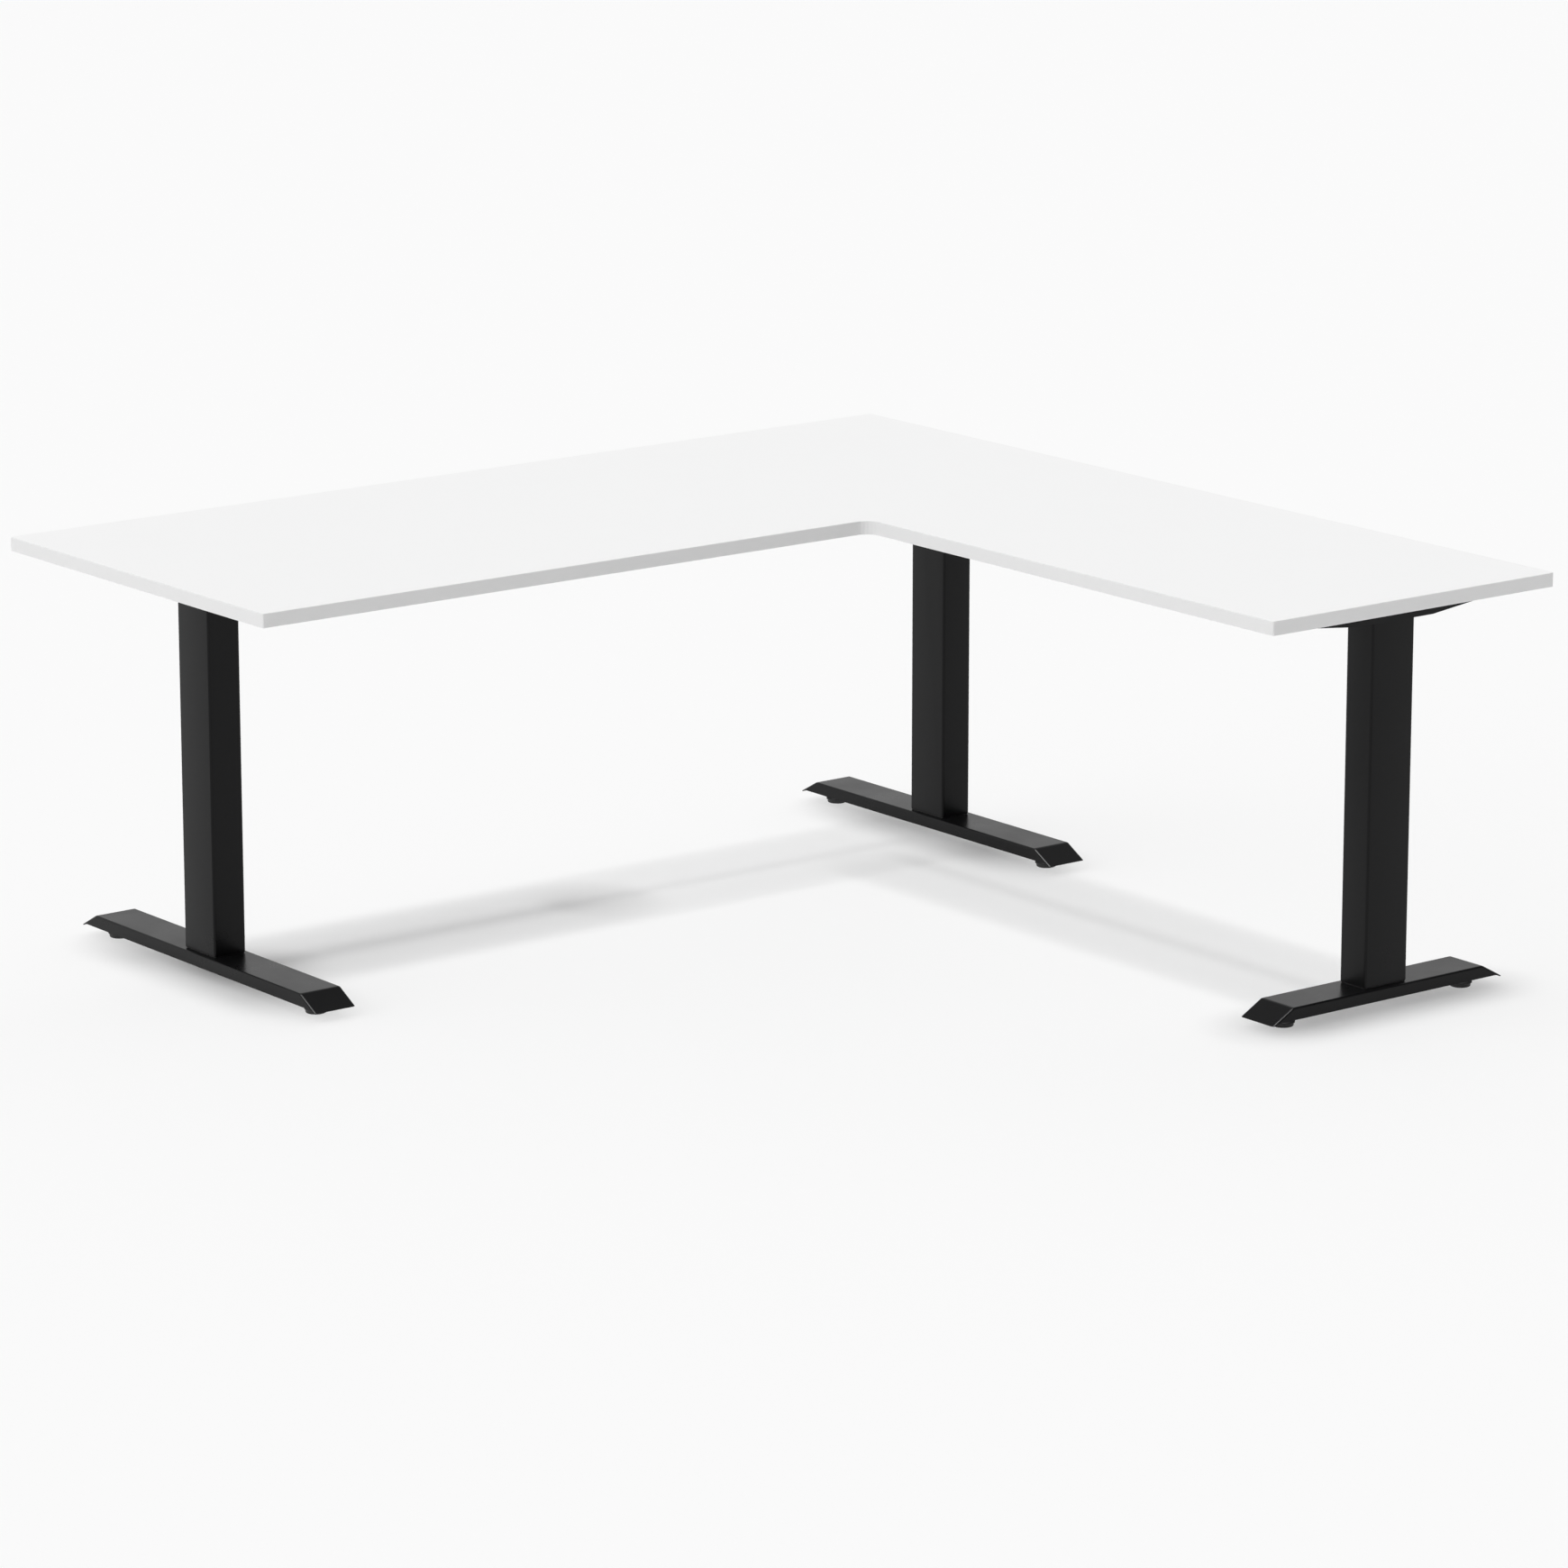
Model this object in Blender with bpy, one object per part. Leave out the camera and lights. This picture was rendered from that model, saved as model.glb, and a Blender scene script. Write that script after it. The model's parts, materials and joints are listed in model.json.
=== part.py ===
"""Height adjustable L-shaped desk on three telescopic legs, at its lowest setting.

Metres, +Z up. The origin is on the floor under the middle of the desk's outline, +X runs along
the main worktop and +Y points to its back edge, so the user sits on the -X, -Y side.
Each leg is built in its own frame: its empty stands on the leg's axis, local Y runs along the
foot and local X points inwards, to the rails that join the legs.
"""

import math

import bmesh
import bpy
from mathutils import Vector

# Worktop
MAIN_LENGTH = 1.800  # along X
MAIN_DEPTH = 0.750  # along Y
RETURN_WIDTH = 0.600  # along X
RETURN_REACH = 1.000  # how far the return stands out from the main worktop, along -Y
TOP_THICKNESS = 0.023
DESK_HEIGHT = 0.6825  # top face over the floor at the lowest setting
BAND_THICKNESS = 0.002
GLUE_LINE = 0.0001
OUTER_CORNER_RADIUS = 0.003
INNER_CORNER_RADIUS = 0.025
BAND_ARRIS = 0.0006
WORKTOP_CORNER_STEPS = 6
SMALL_CORNER_STEPS = 3

# Clearances
GAP = 0.0003  # between pieces that touch
STEEL = 0.0025  # folded sheet
CUT_MARGIN = 0.005  # how far a cutter runs past the piece that it cuts

UNDERSIDE = DESK_HEIGHT - TOP_THICKNESS
FRAME_TOP = UNDERSIDE - GAP
RIGHT_EDGE = MAIN_LENGTH / 2
LEFT_EDGE = -RIGHT_EDGE
BACK_EDGE = (MAIN_DEPTH + RETURN_REACH) / 2
FRONT_EDGE = -BACK_EDGE
MAIN_FRONT_EDGE = BACK_EDGE - MAIN_DEPTH
RETURN_INNER_EDGE = RIGHT_EDGE - RETURN_WIDTH

# Feet: folded channels, open underneath, whose two end flaps slope down
FOOT_WIDTH = 0.078
FOOT_TOP = 0.0395
FOOT_WALL_BOTTOM = 0.019
FLAP_REACH = 0.0435
FLAP_TIP = 0.0155
FLAP_CORNER_RADIUS = 0.005
FOOT_FOLD_RADIUS = 0.0025
LONG_FOOT_FLAT = 0.611  # between the fold lines
SHORT_FOOT_FLAT = 0.410
FOOT_BOTTOM = FOOT_TOP - STEEL

# Levelling glides, screwed up into weld nuts inside the foot
GLIDE_INSET = 0.0125  # from the fold line to the stud's axis
GLIDE_PROFILE = (
    (0.0155, 0.0000),
    (0.0168, 0.0010),
    (0.0174, 0.0055),
    (0.0192, 0.0062),
    (0.0192, 0.0085),
    (0.0176, 0.0093),
    (0.0080, 0.0110),
)
GLIDE_HEX = (0.0075, 0.0165)  # radius over corners, top
GLIDE_SIDES = 16
STUD_RADIUS = 0.0040
STUD_TOP = FOOT_BOTTOM - 0.0010
WELD_NUT_RADIUS = 0.0085
WELD_NUT_BOTTOM = 0.0240
WELD_NUT_SIDES = 12

# Three-stage column: (size along local X, size along local Y)
OUTER_TUBE = (0.060, 0.090)
MIDDLE_TUBE = (0.055, 0.085)
INNER_TUBE = (0.050, 0.080)
TUBE_WALL = 0.0015
TUBE_CORNER = 0.0040
TUBE_BOTTOM = FOOT_TOP + 0.0025
INNER_TUBE_TOP = 0.570
MIDDLE_TUBE_TOP = 0.600
OUTER_TUBE_TOP = 0.656
INNER_TUBE_FLOOR = 0.004
COLLAR_BOTTOM = FOOT_TOP + 0.0005
COLLAR_LIP_TOP = TUBE_BOTTOM - GAP
COLLAR_SKIRT_TOP = 0.080
COLLAR_LIP_INSET = 0.0010  # in from the outer tube's face

# Two-stage spindle in each column
DRIVE_SCREW_RADIUS = 0.0075
DRIVE_SCREW_BOTTOM = 0.075
HOLLOW_SCREW_BORE = 0.0090
HOLLOW_SCREW_RADIUS = 0.0120
HOLLOW_SCREW_BOTTOM = 0.060
HOLLOW_HEAD = (0.0170, 0.5745, 0.5845)  # radius, bottom, top
SCREW_SIDES = 16
NUT_PLUG_DEPTH = 0.025
UPPER_NUT_PLUG_DEPTH = 0.015
NUT_LIP = 0.003

# Gear motor: gearbox in the column's head, motor lying along the rails
GEARBOX = (0.050, 0.060)
GEARBOX_BOTTOM = 0.6065
MOTOR_TOP = 0.6560
NECK_HALF_WIDTH = 0.0175
NECK_BOTTOM = 0.6285
NECK_TOP = MOTOR_TOP - 0.001
NECK_END = 0.0920
MOTOR_RADIUS = 0.0240
MOTOR_START = 0.0900
MOTOR_END = 0.1950
MOTOR_CHAMFER = (0.002, 0.003)  # across and along the can's far end
MOTOR_CAP_RADIUS = 0.0110
MOTOR_CAP_END = 0.2020

# Side bracket: an inverted channel over the column, parallel to the foot
BRACKET_HALF_WIDTH = 0.034
BRACKET_HALF_LENGTH = 0.245
BRACKET_FLAT_HALF = 0.080
BRACKET_BOTTOM = 0.6365
BRACKET_END_BOTTOM = 0.6550
BEND = 0.0010  # inner radius of a fold
FOLD_STEPS = 3
NOTCH_CLEARANCE = 0.001  # around the motor's neck, in the bracket and the tube

# Rail trays and rails
TRAY_HALF_WIDTH = 0.086
TRAY_TO_BRACKET = 0.0005
TRAY_START = BRACKET_HALF_WIDTH + TRAY_TO_BRACKET
TRAY_END = {"left": 0.790, "corner": 0.135, "right": 0.135}
TRAY_WINDOW = (0.110, 0.750, 0.038)  # in the left tray, for the control box: start, end, half width
TRAY_FLANGE_BOTTOM = 0.6210
TRAY_FLANGE_RAMP = (0.050, 0.075)  # local X where the flanges start to deepen, and end
RAIL_WALL = 0.0020
MAIN_RAIL_FLANGE = 0.024
SIDE_RAIL_FLANGE = 0.030
RAIL_DEPTH = 0.036
RAIL_OUTER = TRAY_HALF_WIDTH - STEEL - GAP
RAIL_TOP = FRAME_TOP - STEEL - GAP
RAIL_BOTTOM = RAIL_TOP - RAIL_DEPTH
RAIL_START = 0.060  # from the leg's axis
RAIL_JOINT_LENGTH = 0.060
END_PLATE_DROP = 0.002  # below the joint's flanges

# Legs: (x, y, turn of the leg's frame about Z in degrees, flat length of its foot)
LEG_INSET = 0.140  # column's axis in from the main worktop's ends
MAIN_LEG_Y = BACK_EDGE - MAIN_DEPTH / 2
RETURN_LEG_X = RIGHT_EDGE - RETURN_WIDTH / 2
RETURN_LEG_SETBACK = 0.079  # column's axis in from the return's end
RETURN_LEG_Y = FRONT_EDGE + RETURN_LEG_SETBACK
LEGS = {
    "left": (LEFT_EDGE + LEG_INSET, MAIN_LEG_Y, 0, LONG_FOOT_FLAT),
    "corner": (RIGHT_EDGE - LEG_INSET, MAIN_LEG_Y, 180, LONG_FOOT_FLAT),
    "right": (RETURN_LEG_X, RETURN_LEG_Y, 90, SHORT_FOOT_FLAT),
}
FOOT_ENDS = {
    "left": (("rear", 1), ("front", -1)),
    "corner": (("rear", -1), ("front", 1)),
    "right": (("inner", 1), ("outer", -1)),
}

# Control box in the window of the left leg's tray
CONTROL_BOX = (0.200, 0.070, 0.030)
CONTROL_BOX_X = -0.300
CONTROL_BOX_EDGE = 0.003
SOCKET_DEPTH = 0.012
INLET = (0.024, 0.016)
SOCKET = (0.016, 0.010)
SOCKET_PITCH = 0.024

# Handset under the main worktop's front edge
HANDSET = (0.120, 0.036, 0.0165)
HANDSET_X = 0.160
HANDSET_SETBACK = 0.078
HANDSET_EDGE = 0.0020
POCKET_DEPTH = 0.0060
KEY_HEIGHT = 0.0090
KEY_DEPTH = 0.0055
KEY_PROUD = 0.0012
KEY_EDGE = 0.0008
WINDOW = (0.030, 0.0100, 0.0030)
WINDOW_X = -0.040
WINDOW_SUNK = 0.0005
MEMORY_KEY_WIDTH = 0.0090
LIFT_KEY_WIDTH = 0.0120
KEYS = {
    "memory_key_1": (-0.0140, MEMORY_KEY_WIDTH),
    "memory_key_2": (-0.0010, MEMORY_KEY_WIDTH),
    "memory_key_3": (0.0120, MEMORY_KEY_WIDTH),
    "up_key": (0.0290, LIFT_KEY_WIDTH),
    "down_key": (0.0460, LIFT_KEY_WIDTH),
}

ROUND_SIDES = 24
SMOOTH_ANGLE = math.radians(35)


# Materials


def finish(name, color, roughness, metallic=0.0):
    material = bpy.data.materials.new(name)
    material.use_nodes = True
    material.diffuse_color = (*color, 1)
    shader = material.node_tree.nodes["Principled BSDF"]
    shader.inputs["Base Color"].default_value = (*color, 1)
    shader.inputs["Roughness"].default_value = roughness
    shader.inputs["Metallic"].default_value = metallic
    return material


# Meshes


def clear_scene():
    for old in list(bpy.data.objects):
        bpy.data.objects.remove(old, do_unlink=True)


def mesh_from(name, bm, smooth=False):
    """Closes up bm as a mesh with its faces pointing out."""
    bmesh.ops.recalc_face_normals(bm, faces=bm.faces)
    mesh = bpy.data.meshes.new(name)
    bm.to_mesh(mesh)
    bm.free()
    if smooth:
        mesh.shade_smooth()
        mesh.set_sharp_from_angle(angle=SMOOTH_ANGLE)
    return mesh


def lofted(loops, cyclic=False):
    """Quads between loops of equal length, capped at both ends unless the last meets the first."""
    bm = bmesh.new()
    rings = [[bm.verts.new(point) for point in loop] for loop in loops]
    pairs = list(zip(rings, rings[1:]))
    if cyclic:
        pairs.append((rings[-1], rings[0]))
    else:
        bm.faces.new(rings[0])
        bm.faces.new(rings[-1])
    for lower, upper in pairs:
        for i in range(len(lower)):
            bm.faces.new((lower[i - 1], lower[i], upper[i], upper[i - 1]))
    return bm


def rounded_outline(corners, radii, inset=0.0, steps=SMALL_CORNER_STEPS):
    """Counter-clockwise outline of right-angled corners, moved inwards, each rounded by an arc."""
    points = []
    for i, (corner, radius) in enumerate(zip(corners, radii)):
        corner = Vector(corner)
        back = (Vector(corners[i - 1]) - corner).normalized()
        ahead = (Vector(corners[(i + 1) % len(corners)]) - corner).normalized()
        side = 1 if ahead.cross(back) > 0 else -1  # -1 where the outline turns into the shape
        radius -= side * inset
        centre = corner + (side * inset + radius) * (back + ahead)
        for step in range(steps + 1):
            angle = math.radians(90 * step / steps)
            points.append(centre - radius * (ahead * math.cos(angle) + back * math.sin(angle)))
    return points


def rectangle(size_x, size_y, radius):
    """Corners and radii of a rectangle about the origin, for rounded_outline."""
    x, y = size_x / 2, size_y / 2
    return ((-x, -y), (x, -y), (x, y), (-x, y)), (radius,) * 4


def at_height(outline, z):
    return [(point[0], point[1], z) for point in outline]


def circle(radius, z, sides=ROUND_SIDES):
    angles = (2 * math.pi * side / sides for side in range(sides))
    return [(radius * math.cos(a), radius * math.sin(a), z) for a in angles]


def turned(profile, sides=ROUND_SIDES):
    """Solid of revolution about Z through (radius, z) points."""
    return lofted([circle(radius, z, sides) for radius, z in profile])


def rod(radius, bottom, top, sides=ROUND_SIDES):
    return turned(((radius, bottom), (radius, top)), sides)


def block(low, high):
    """Box between two corners."""
    (x0, y0, z0), (x1, y1, z1) = low, high
    base = ((x0, y0), (x1, y0), (x1, y1), (x0, y1))
    return lofted([at_height(base, z0), at_height(base, z1)])


def rounded_block(size, radius, segments=2):
    """Box about the origin with every edge rounded."""
    half = Vector(size) / 2
    bm = block(-half, half)
    bmesh.ops.bevel(
        bm, geom=bm.edges[:], offset=radius, segments=segments, profile=0.5, affect="EDGES"
    )
    return bm


def folded_section(corners, thickness):
    """Outline of a sheet folded square at each inner corner; the folds all turn the same way."""
    corners = [Vector(corner) for corner in corners]
    outer, inner = [], []
    for before, corner, after in zip(corners, corners[1:], corners[2:]):
        back, ahead = (before - corner).normalized(), (after - corner).normalized()
        if not outer:
            outer.append(before)
            inner.append(before + thickness * ahead)
        centre = corner + (BEND + thickness) * (back + ahead)
        for step in range(FOLD_STEPS + 1):
            angle = math.radians(90 * step / FOLD_STEPS)
            reach = ahead * math.cos(angle) + back * math.sin(angle)
            outer.append(centre - (BEND + thickness) * reach)
            inner.append(centre - BEND * reach)
    outer.append(after)
    inner.append(after + thickness * back)
    return outer + inner[::-1]


def channel_section(half_width, bottom):
    """Inverted channel: two flanges down from a web that lies under the worktop."""
    corners = (
        (-half_width, bottom),
        (-half_width, FRAME_TOP),
        (half_width, FRAME_TOP),
        (half_width, bottom),
    )
    return folded_section(corners, STEEL)


# Objects


def add(name, bm, material, parent=None, location=(0, 0, 0), smooth=False):
    obj = bpy.data.objects.new(name, mesh_from(name, bm, smooth))
    obj.data.materials.append(material)
    obj.parent = parent
    obj.location = location
    bpy.context.scene.collection.objects.link(obj)
    return obj


def boolean(obj, operation, label, bm):
    """Boolean with a hidden helper that shares the object's place."""
    helper = bpy.data.objects.new(f"{obj.name}_{label}", mesh_from(label, bm))
    helper.parent = obj.parent
    helper.location = obj.location
    helper.hide_render = True
    helper.display_type = "WIRE"
    bpy.context.scene.collection.objects.link(helper)
    modifier = obj.modifiers.new(label, "BOOLEAN")
    modifier.operation = operation
    modifier.solver = "EXACT"
    modifier.object = helper
    return obj


def merged(*pieces):
    """One bmesh holding several closed shapes that don't touch."""
    whole = bmesh.new()
    for piece in pieces:
        loose = bpy.data.meshes.new("loose")
        piece.to_mesh(loose)
        piece.free()
        whole.from_mesh(loose)
        bpy.data.meshes.remove(loose)
    return whole


# Worktop


def worktop_outline(inset):
    corners = (
        (LEFT_EDGE, MAIN_FRONT_EDGE),
        (RETURN_INNER_EDGE, MAIN_FRONT_EDGE),
        (RETURN_INNER_EDGE, FRONT_EDGE),
        (RIGHT_EDGE, FRONT_EDGE),
        (RIGHT_EDGE, BACK_EDGE),
        (LEFT_EDGE, BACK_EDGE),
    )
    radii = [OUTER_CORNER_RADIUS] * len(corners)
    radii[1] = INNER_CORNER_RADIUS
    return rounded_outline(corners, radii, inset, WORKTOP_CORNER_STEPS)


def make_worktop(melamine, banding):
    board = worktop_outline(BAND_THICKNESS + GLUE_LINE)
    board_bm = lofted([at_height(board, UNDERSIDE), at_height(board, DESK_HEIGHT)])
    add("desktop", board_bm, melamine, smooth=True)
    face, arris, back = (
        worktop_outline(inset) for inset in (0, BAND_ARRIS, BAND_THICKNESS)
    )
    ring = [
        at_height(back, UNDERSIDE),
        at_height(arris, UNDERSIDE),
        at_height(face, UNDERSIDE + BAND_ARRIS),
        at_height(face, DESK_HEIGHT - BAND_ARRIS),
        at_height(arris, DESK_HEIGHT),
        at_height(back, DESK_HEIGHT),
    ]
    add("edge_band", lofted(ring, cyclic=True), banding, smooth=True)


# Feet and glides


def sloped_prism(flat, top, bottom, half_width):
    """Prism across a foot, whose ends slope like the flaps; flat is its length at the top."""
    run = (top - bottom) * FLAP_REACH / (FOOT_TOP - FLAP_TIP)
    side = ((-flat / 2 - run, bottom), (-flat / 2, top), (flat / 2, top), (flat / 2 + run, bottom))
    return lofted([[(x, y, z) for y, z in side] for x in (-half_width, half_width)])


def foot_shell(flat):
    """Outside of the foot before it is hollowed, with its upper edges and folds rounded."""
    bm = sloped_prism(flat, FOOT_TOP, FLAP_TIP, FOOT_WIDTH / 2)
    upper = [edge for edge in bm.edges if any(v.co.z > FLAP_TIP for v in edge.verts)]
    bmesh.ops.bevel(
        bm, geom=upper, offset=FOOT_FOLD_RADIUS, segments=2, profile=0.5, affect="EDGES"
    )
    return bm


def make_foot(leg, empty, flat, steel):
    slope = math.atan2(FOOT_TOP - FLAP_TIP, FLAP_REACH)
    inner_flat = flat - 2 * STEEL * math.tan(slope / 2)
    foot = add(f"foot_{leg}", foot_shell(flat), steel, empty, smooth=True)
    plan = rounded_outline(
        *rectangle(FOOT_WIDTH, flat + 2 * FLAP_REACH, FLAP_CORNER_RADIUS)
    )
    plan_bm = lofted([at_height(plan, 0), at_height(plan, FOOT_TOP + CUT_MARGIN)])
    boolean(foot, "INTERSECT", "plan", plan_bm)
    under = FLAP_TIP - CUT_MARGIN
    hollow = sloped_prism(inner_flat, FOOT_BOTTOM, under, FOOT_WIDTH / 2 - STEEL)
    boolean(foot, "DIFFERENCE", "hollow", hollow)
    rise = FOOT_BOTTOM - FOOT_WALL_BOTTOM
    strip_flat = inner_flat + 2 * rise / math.tan(slope)
    strip = sloped_prism(strip_flat, FOOT_WALL_BOTTOM, under, FOOT_WIDTH / 2 + CUT_MARGIN)
    boolean(foot, "DIFFERENCE", "under_walls", strip)
    reach = flat / 2 - GLIDE_INSET
    nuts, holes = [], []
    for side in (-1, 1):
        shift = Vector((0, side * reach, 0))
        nut = rod(WELD_NUT_RADIUS, WELD_NUT_BOTTOM, FOOT_BOTTOM + GAP, WELD_NUT_SIDES)
        hole = rod(STUD_RADIUS + GAP, 0, FOOT_BOTTOM - GAP, WELD_NUT_SIDES)
        for bm in (nut, hole):
            bmesh.ops.translate(bm, verts=bm.verts, vec=shift)
        nuts.append(nut)
        holes.append(hole)
    boolean(foot, "UNION", "weld_nuts", merged(*nuts))
    boolean(foot, "DIFFERENCE", "stud_holes", merged(*holes))


def make_glides(leg, empty, flat, plastic):
    """Each glide's origin is on its stud's axis, on the floor."""
    hex_radius, hex_top = GLIDE_HEX
    profile = [*GLIDE_PROFILE, (hex_radius, GLIDE_PROFILE[-1][1]), (hex_radius, hex_top)]
    profile += [(STUD_RADIUS, hex_top), (STUD_RADIUS, STUD_TOP)]
    for end, side in FOOT_ENDS[leg]:
        place = (0, side * (flat / 2 - GLIDE_INSET), 0)
        glide = turned(profile, GLIDE_SIDES)
        add(f"glide_{leg}_{end}", glide, plastic, empty, place, smooth=True)


# Column


def tube_loops(size, inset, *heights):
    """Rounded rectangles of one tube at each height, moved in from its outer face."""
    outline = rounded_outline(*rectangle(*size, TUBE_CORNER), inset)
    return [at_height(outline, z) for z in heights]


def make_outer_tube(leg, empty, steel):
    loops = tube_loops(OUTER_TUBE, 0, TUBE_BOTTOM, OUTER_TUBE_TOP)
    loops += tube_loops(OUTER_TUBE, TUBE_WALL, OUTER_TUBE_TOP, TUBE_BOTTOM)
    tube = add(f"outer_tube_{leg}", lofted(loops, cyclic=True), steel, empty, smooth=True)
    wall_x = OUTER_TUBE[0] / 2
    clear = NECK_HALF_WIDTH + NOTCH_CLEARANCE
    notch = block(
        (wall_x - CUT_MARGIN, -clear, NECK_BOTTOM - NOTCH_CLEARANCE),
        (wall_x + CUT_MARGIN, clear, OUTER_TUBE_TOP + CUT_MARGIN),
    )
    boolean(tube, "DIFFERENCE", "motor_notch", notch)


def make_middle_tube(leg, empty, steel):
    loops = tube_loops(MIDDLE_TUBE, 0, TUBE_BOTTOM, MIDDLE_TUBE_TOP)
    loops += tube_loops(MIDDLE_TUBE, TUBE_WALL, MIDDLE_TUBE_TOP, TUBE_BOTTOM)
    add(f"middle_tube_{leg}", lofted(loops, cyclic=True), steel, empty, smooth=True)


def make_inner_tube(leg, empty, steel):
    """Closed at the bottom by the plate that the foot is bolted to."""
    bottom = FOOT_TOP + GAP
    loops = tube_loops(INNER_TUBE, 0, bottom, INNER_TUBE_TOP)
    loops += tube_loops(INNER_TUBE, TUBE_WALL, INNER_TUBE_TOP, bottom + INNER_TUBE_FLOOR)
    add(f"inner_tube_{leg}", lofted(loops), steel, empty, smooth=True)


def make_collar(name, empty, tube, next_tube, lip_inset, plastic):
    """Plastic collar: a lip under the tube's end and a thin skirt up between two tubes."""
    step = (tube[0] - next_tube[0]) / 2
    loops = tube_loops(tube, lip_inset, COLLAR_BOTTOM, COLLAR_LIP_TOP)
    loops += tube_loops(tube, TUBE_WALL + GAP, COLLAR_LIP_TOP, COLLAR_SKIRT_TOP)
    loops += tube_loops(tube, step - GAP, COLLAR_SKIRT_TOP, COLLAR_BOTTOM)
    add(name, lofted(loops, cyclic=True), plastic, empty, smooth=True)


def make_nut(name, empty, tube, tube_top, plug_depth, bore, plastic):
    """Spindle nut set in a tube's mouth, with a lip on the tube's end."""
    loops = tube_loops(tube, TUBE_WALL + GAP, tube_top - plug_depth, tube_top + GAP)
    loops += tube_loops(tube, 0, tube_top + GAP, tube_top + GAP + NUT_LIP)
    nut = add(name, lofted(loops), plastic, empty)
    hole = rod(bore, tube_top - plug_depth - CUT_MARGIN, tube_top + NUT_LIP + CUT_MARGIN)
    boolean(nut, "DIFFERENCE", "bore", hole)


def make_screws(leg, empty, steel):
    """The drive screw turns the hollow screw, which slides along it on a key."""
    screw = rod(DRIVE_SCREW_RADIUS, DRIVE_SCREW_BOTTOM, GEARBOX_BOTTOM - GAP, SCREW_SIDES)
    add(f"drive_screw_{leg}", screw, steel, empty, smooth=True)
    head_radius, head_bottom, head_top = HOLLOW_HEAD
    profile = (
        (HOLLOW_SCREW_BORE, HOLLOW_SCREW_BOTTOM),
        (HOLLOW_SCREW_RADIUS, HOLLOW_SCREW_BOTTOM),
        (HOLLOW_SCREW_RADIUS, head_bottom),
        (head_radius, head_bottom),
        (head_radius, head_top),
        (HOLLOW_SCREW_BORE, head_top),
    )
    loops = [circle(radius, z, SCREW_SIDES) for radius, z in profile]
    add(f"hollow_screw_{leg}", lofted(loops, cyclic=True), steel, empty, smooth=True)


def make_gear_motor(leg, empty, casting):
    half_x, half_y = GEARBOX[0] / 2, GEARBOX[1] / 2
    gearbox = block((-half_x, -half_y, GEARBOX_BOTTOM), (half_x, half_y, MOTOR_TOP))
    motor = add(f"gear_motor_{leg}", gearbox, casting, empty, smooth=True)
    neck = block(
        (half_x - CUT_MARGIN, -NECK_HALF_WIDTH, NECK_BOTTOM),
        (NECK_END, NECK_HALF_WIDTH, NECK_TOP),
    )
    boolean(motor, "UNION", "neck", neck)
    across, along = MOTOR_CHAMFER
    stations = (
        (MOTOR_RADIUS, MOTOR_START),
        (MOTOR_RADIUS, MOTOR_END - along),
        (MOTOR_RADIUS - across, MOTOR_END),
        (MOTOR_CAP_RADIUS, MOTOR_END),
        (MOTOR_CAP_RADIUS, MOTOR_CAP_END),
    )
    axis_z = MOTOR_TOP - MOTOR_RADIUS
    loops = [[(x, a, axis_z + b) for a, b, _ in circle(r, 0)] for r, x in stations]
    boolean(motor, "UNION", "can", lofted(loops))


# Frame under the worktop


def make_side_bracket(leg, empty, steel):
    """Its flanges taper from the column to both ends."""
    stations = (
        (-BRACKET_HALF_LENGTH, BRACKET_END_BOTTOM),
        (-BRACKET_FLAT_HALF, BRACKET_BOTTOM),
        (BRACKET_FLAT_HALF, BRACKET_BOTTOM),
        (BRACKET_HALF_LENGTH, BRACKET_END_BOTTOM),
    )
    loops = [
        [(x, y, z) for x, z in channel_section(BRACKET_HALF_WIDTH, bottom)]
        for y, bottom in stations
    ]
    bracket = add(f"side_bracket_{leg}", lofted(loops), steel, empty, smooth=True)
    clear = NECK_HALF_WIDTH + NOTCH_CLEARANCE
    notch = block(
        (BRACKET_HALF_WIDTH - CUT_MARGIN, -clear, BRACKET_BOTTOM - CUT_MARGIN),
        (BRACKET_HALF_WIDTH + CUT_MARGIN, clear, FRAME_TOP - STEEL - GAP),
    )
    boolean(bracket, "DIFFERENCE", "motor_notch", notch)


def tray_loops(stations):
    """Inverted channel along local X through (x, flange bottom) stations."""
    return [
        [(x, y, z) for y, z in channel_section(TRAY_HALF_WIDTH, bottom)] for x, bottom in stations
    ]


def make_rail_tray(leg, empty, steel):
    ramp_start, ramp_end = TRAY_FLANGE_RAMP
    stations = (
        (TRAY_START, BRACKET_END_BOTTOM),
        (ramp_start, BRACKET_END_BOTTOM),
        (ramp_end, TRAY_FLANGE_BOTTOM),
        (TRAY_END[leg], TRAY_FLANGE_BOTTOM),
    )
    tray = add(f"rail_tray_{leg}", lofted(tray_loops(stations)), steel, empty, smooth=True)
    start, end, half_width = TRAY_WINDOW
    if end < TRAY_END[leg]:
        window = block(
            (start, -half_width, FRAME_TOP - STEEL - CUT_MARGIN),
            (end, half_width, FRAME_TOP + CUT_MARGIN),
        )
        boolean(tray, "DIFFERENCE", "window", window)


def make_rail(name, empty, side, flange, start, end, steel):
    """C rail along local X with its web outwards; side says which of the pair."""
    inner = RAIL_OUTER - flange
    corners = (
        (side * inner, RAIL_TOP),
        (side * RAIL_OUTER, RAIL_TOP),
        (side * RAIL_OUTER, RAIL_BOTTOM),
        (side * inner, RAIL_BOTTOM),
    )
    section = folded_section(corners, RAIL_WALL)
    loops = [[(x, y, z) for y, z in section] for x in (start, end)]
    add(name, lofted(loops), steel, empty, smooth=True)


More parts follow.
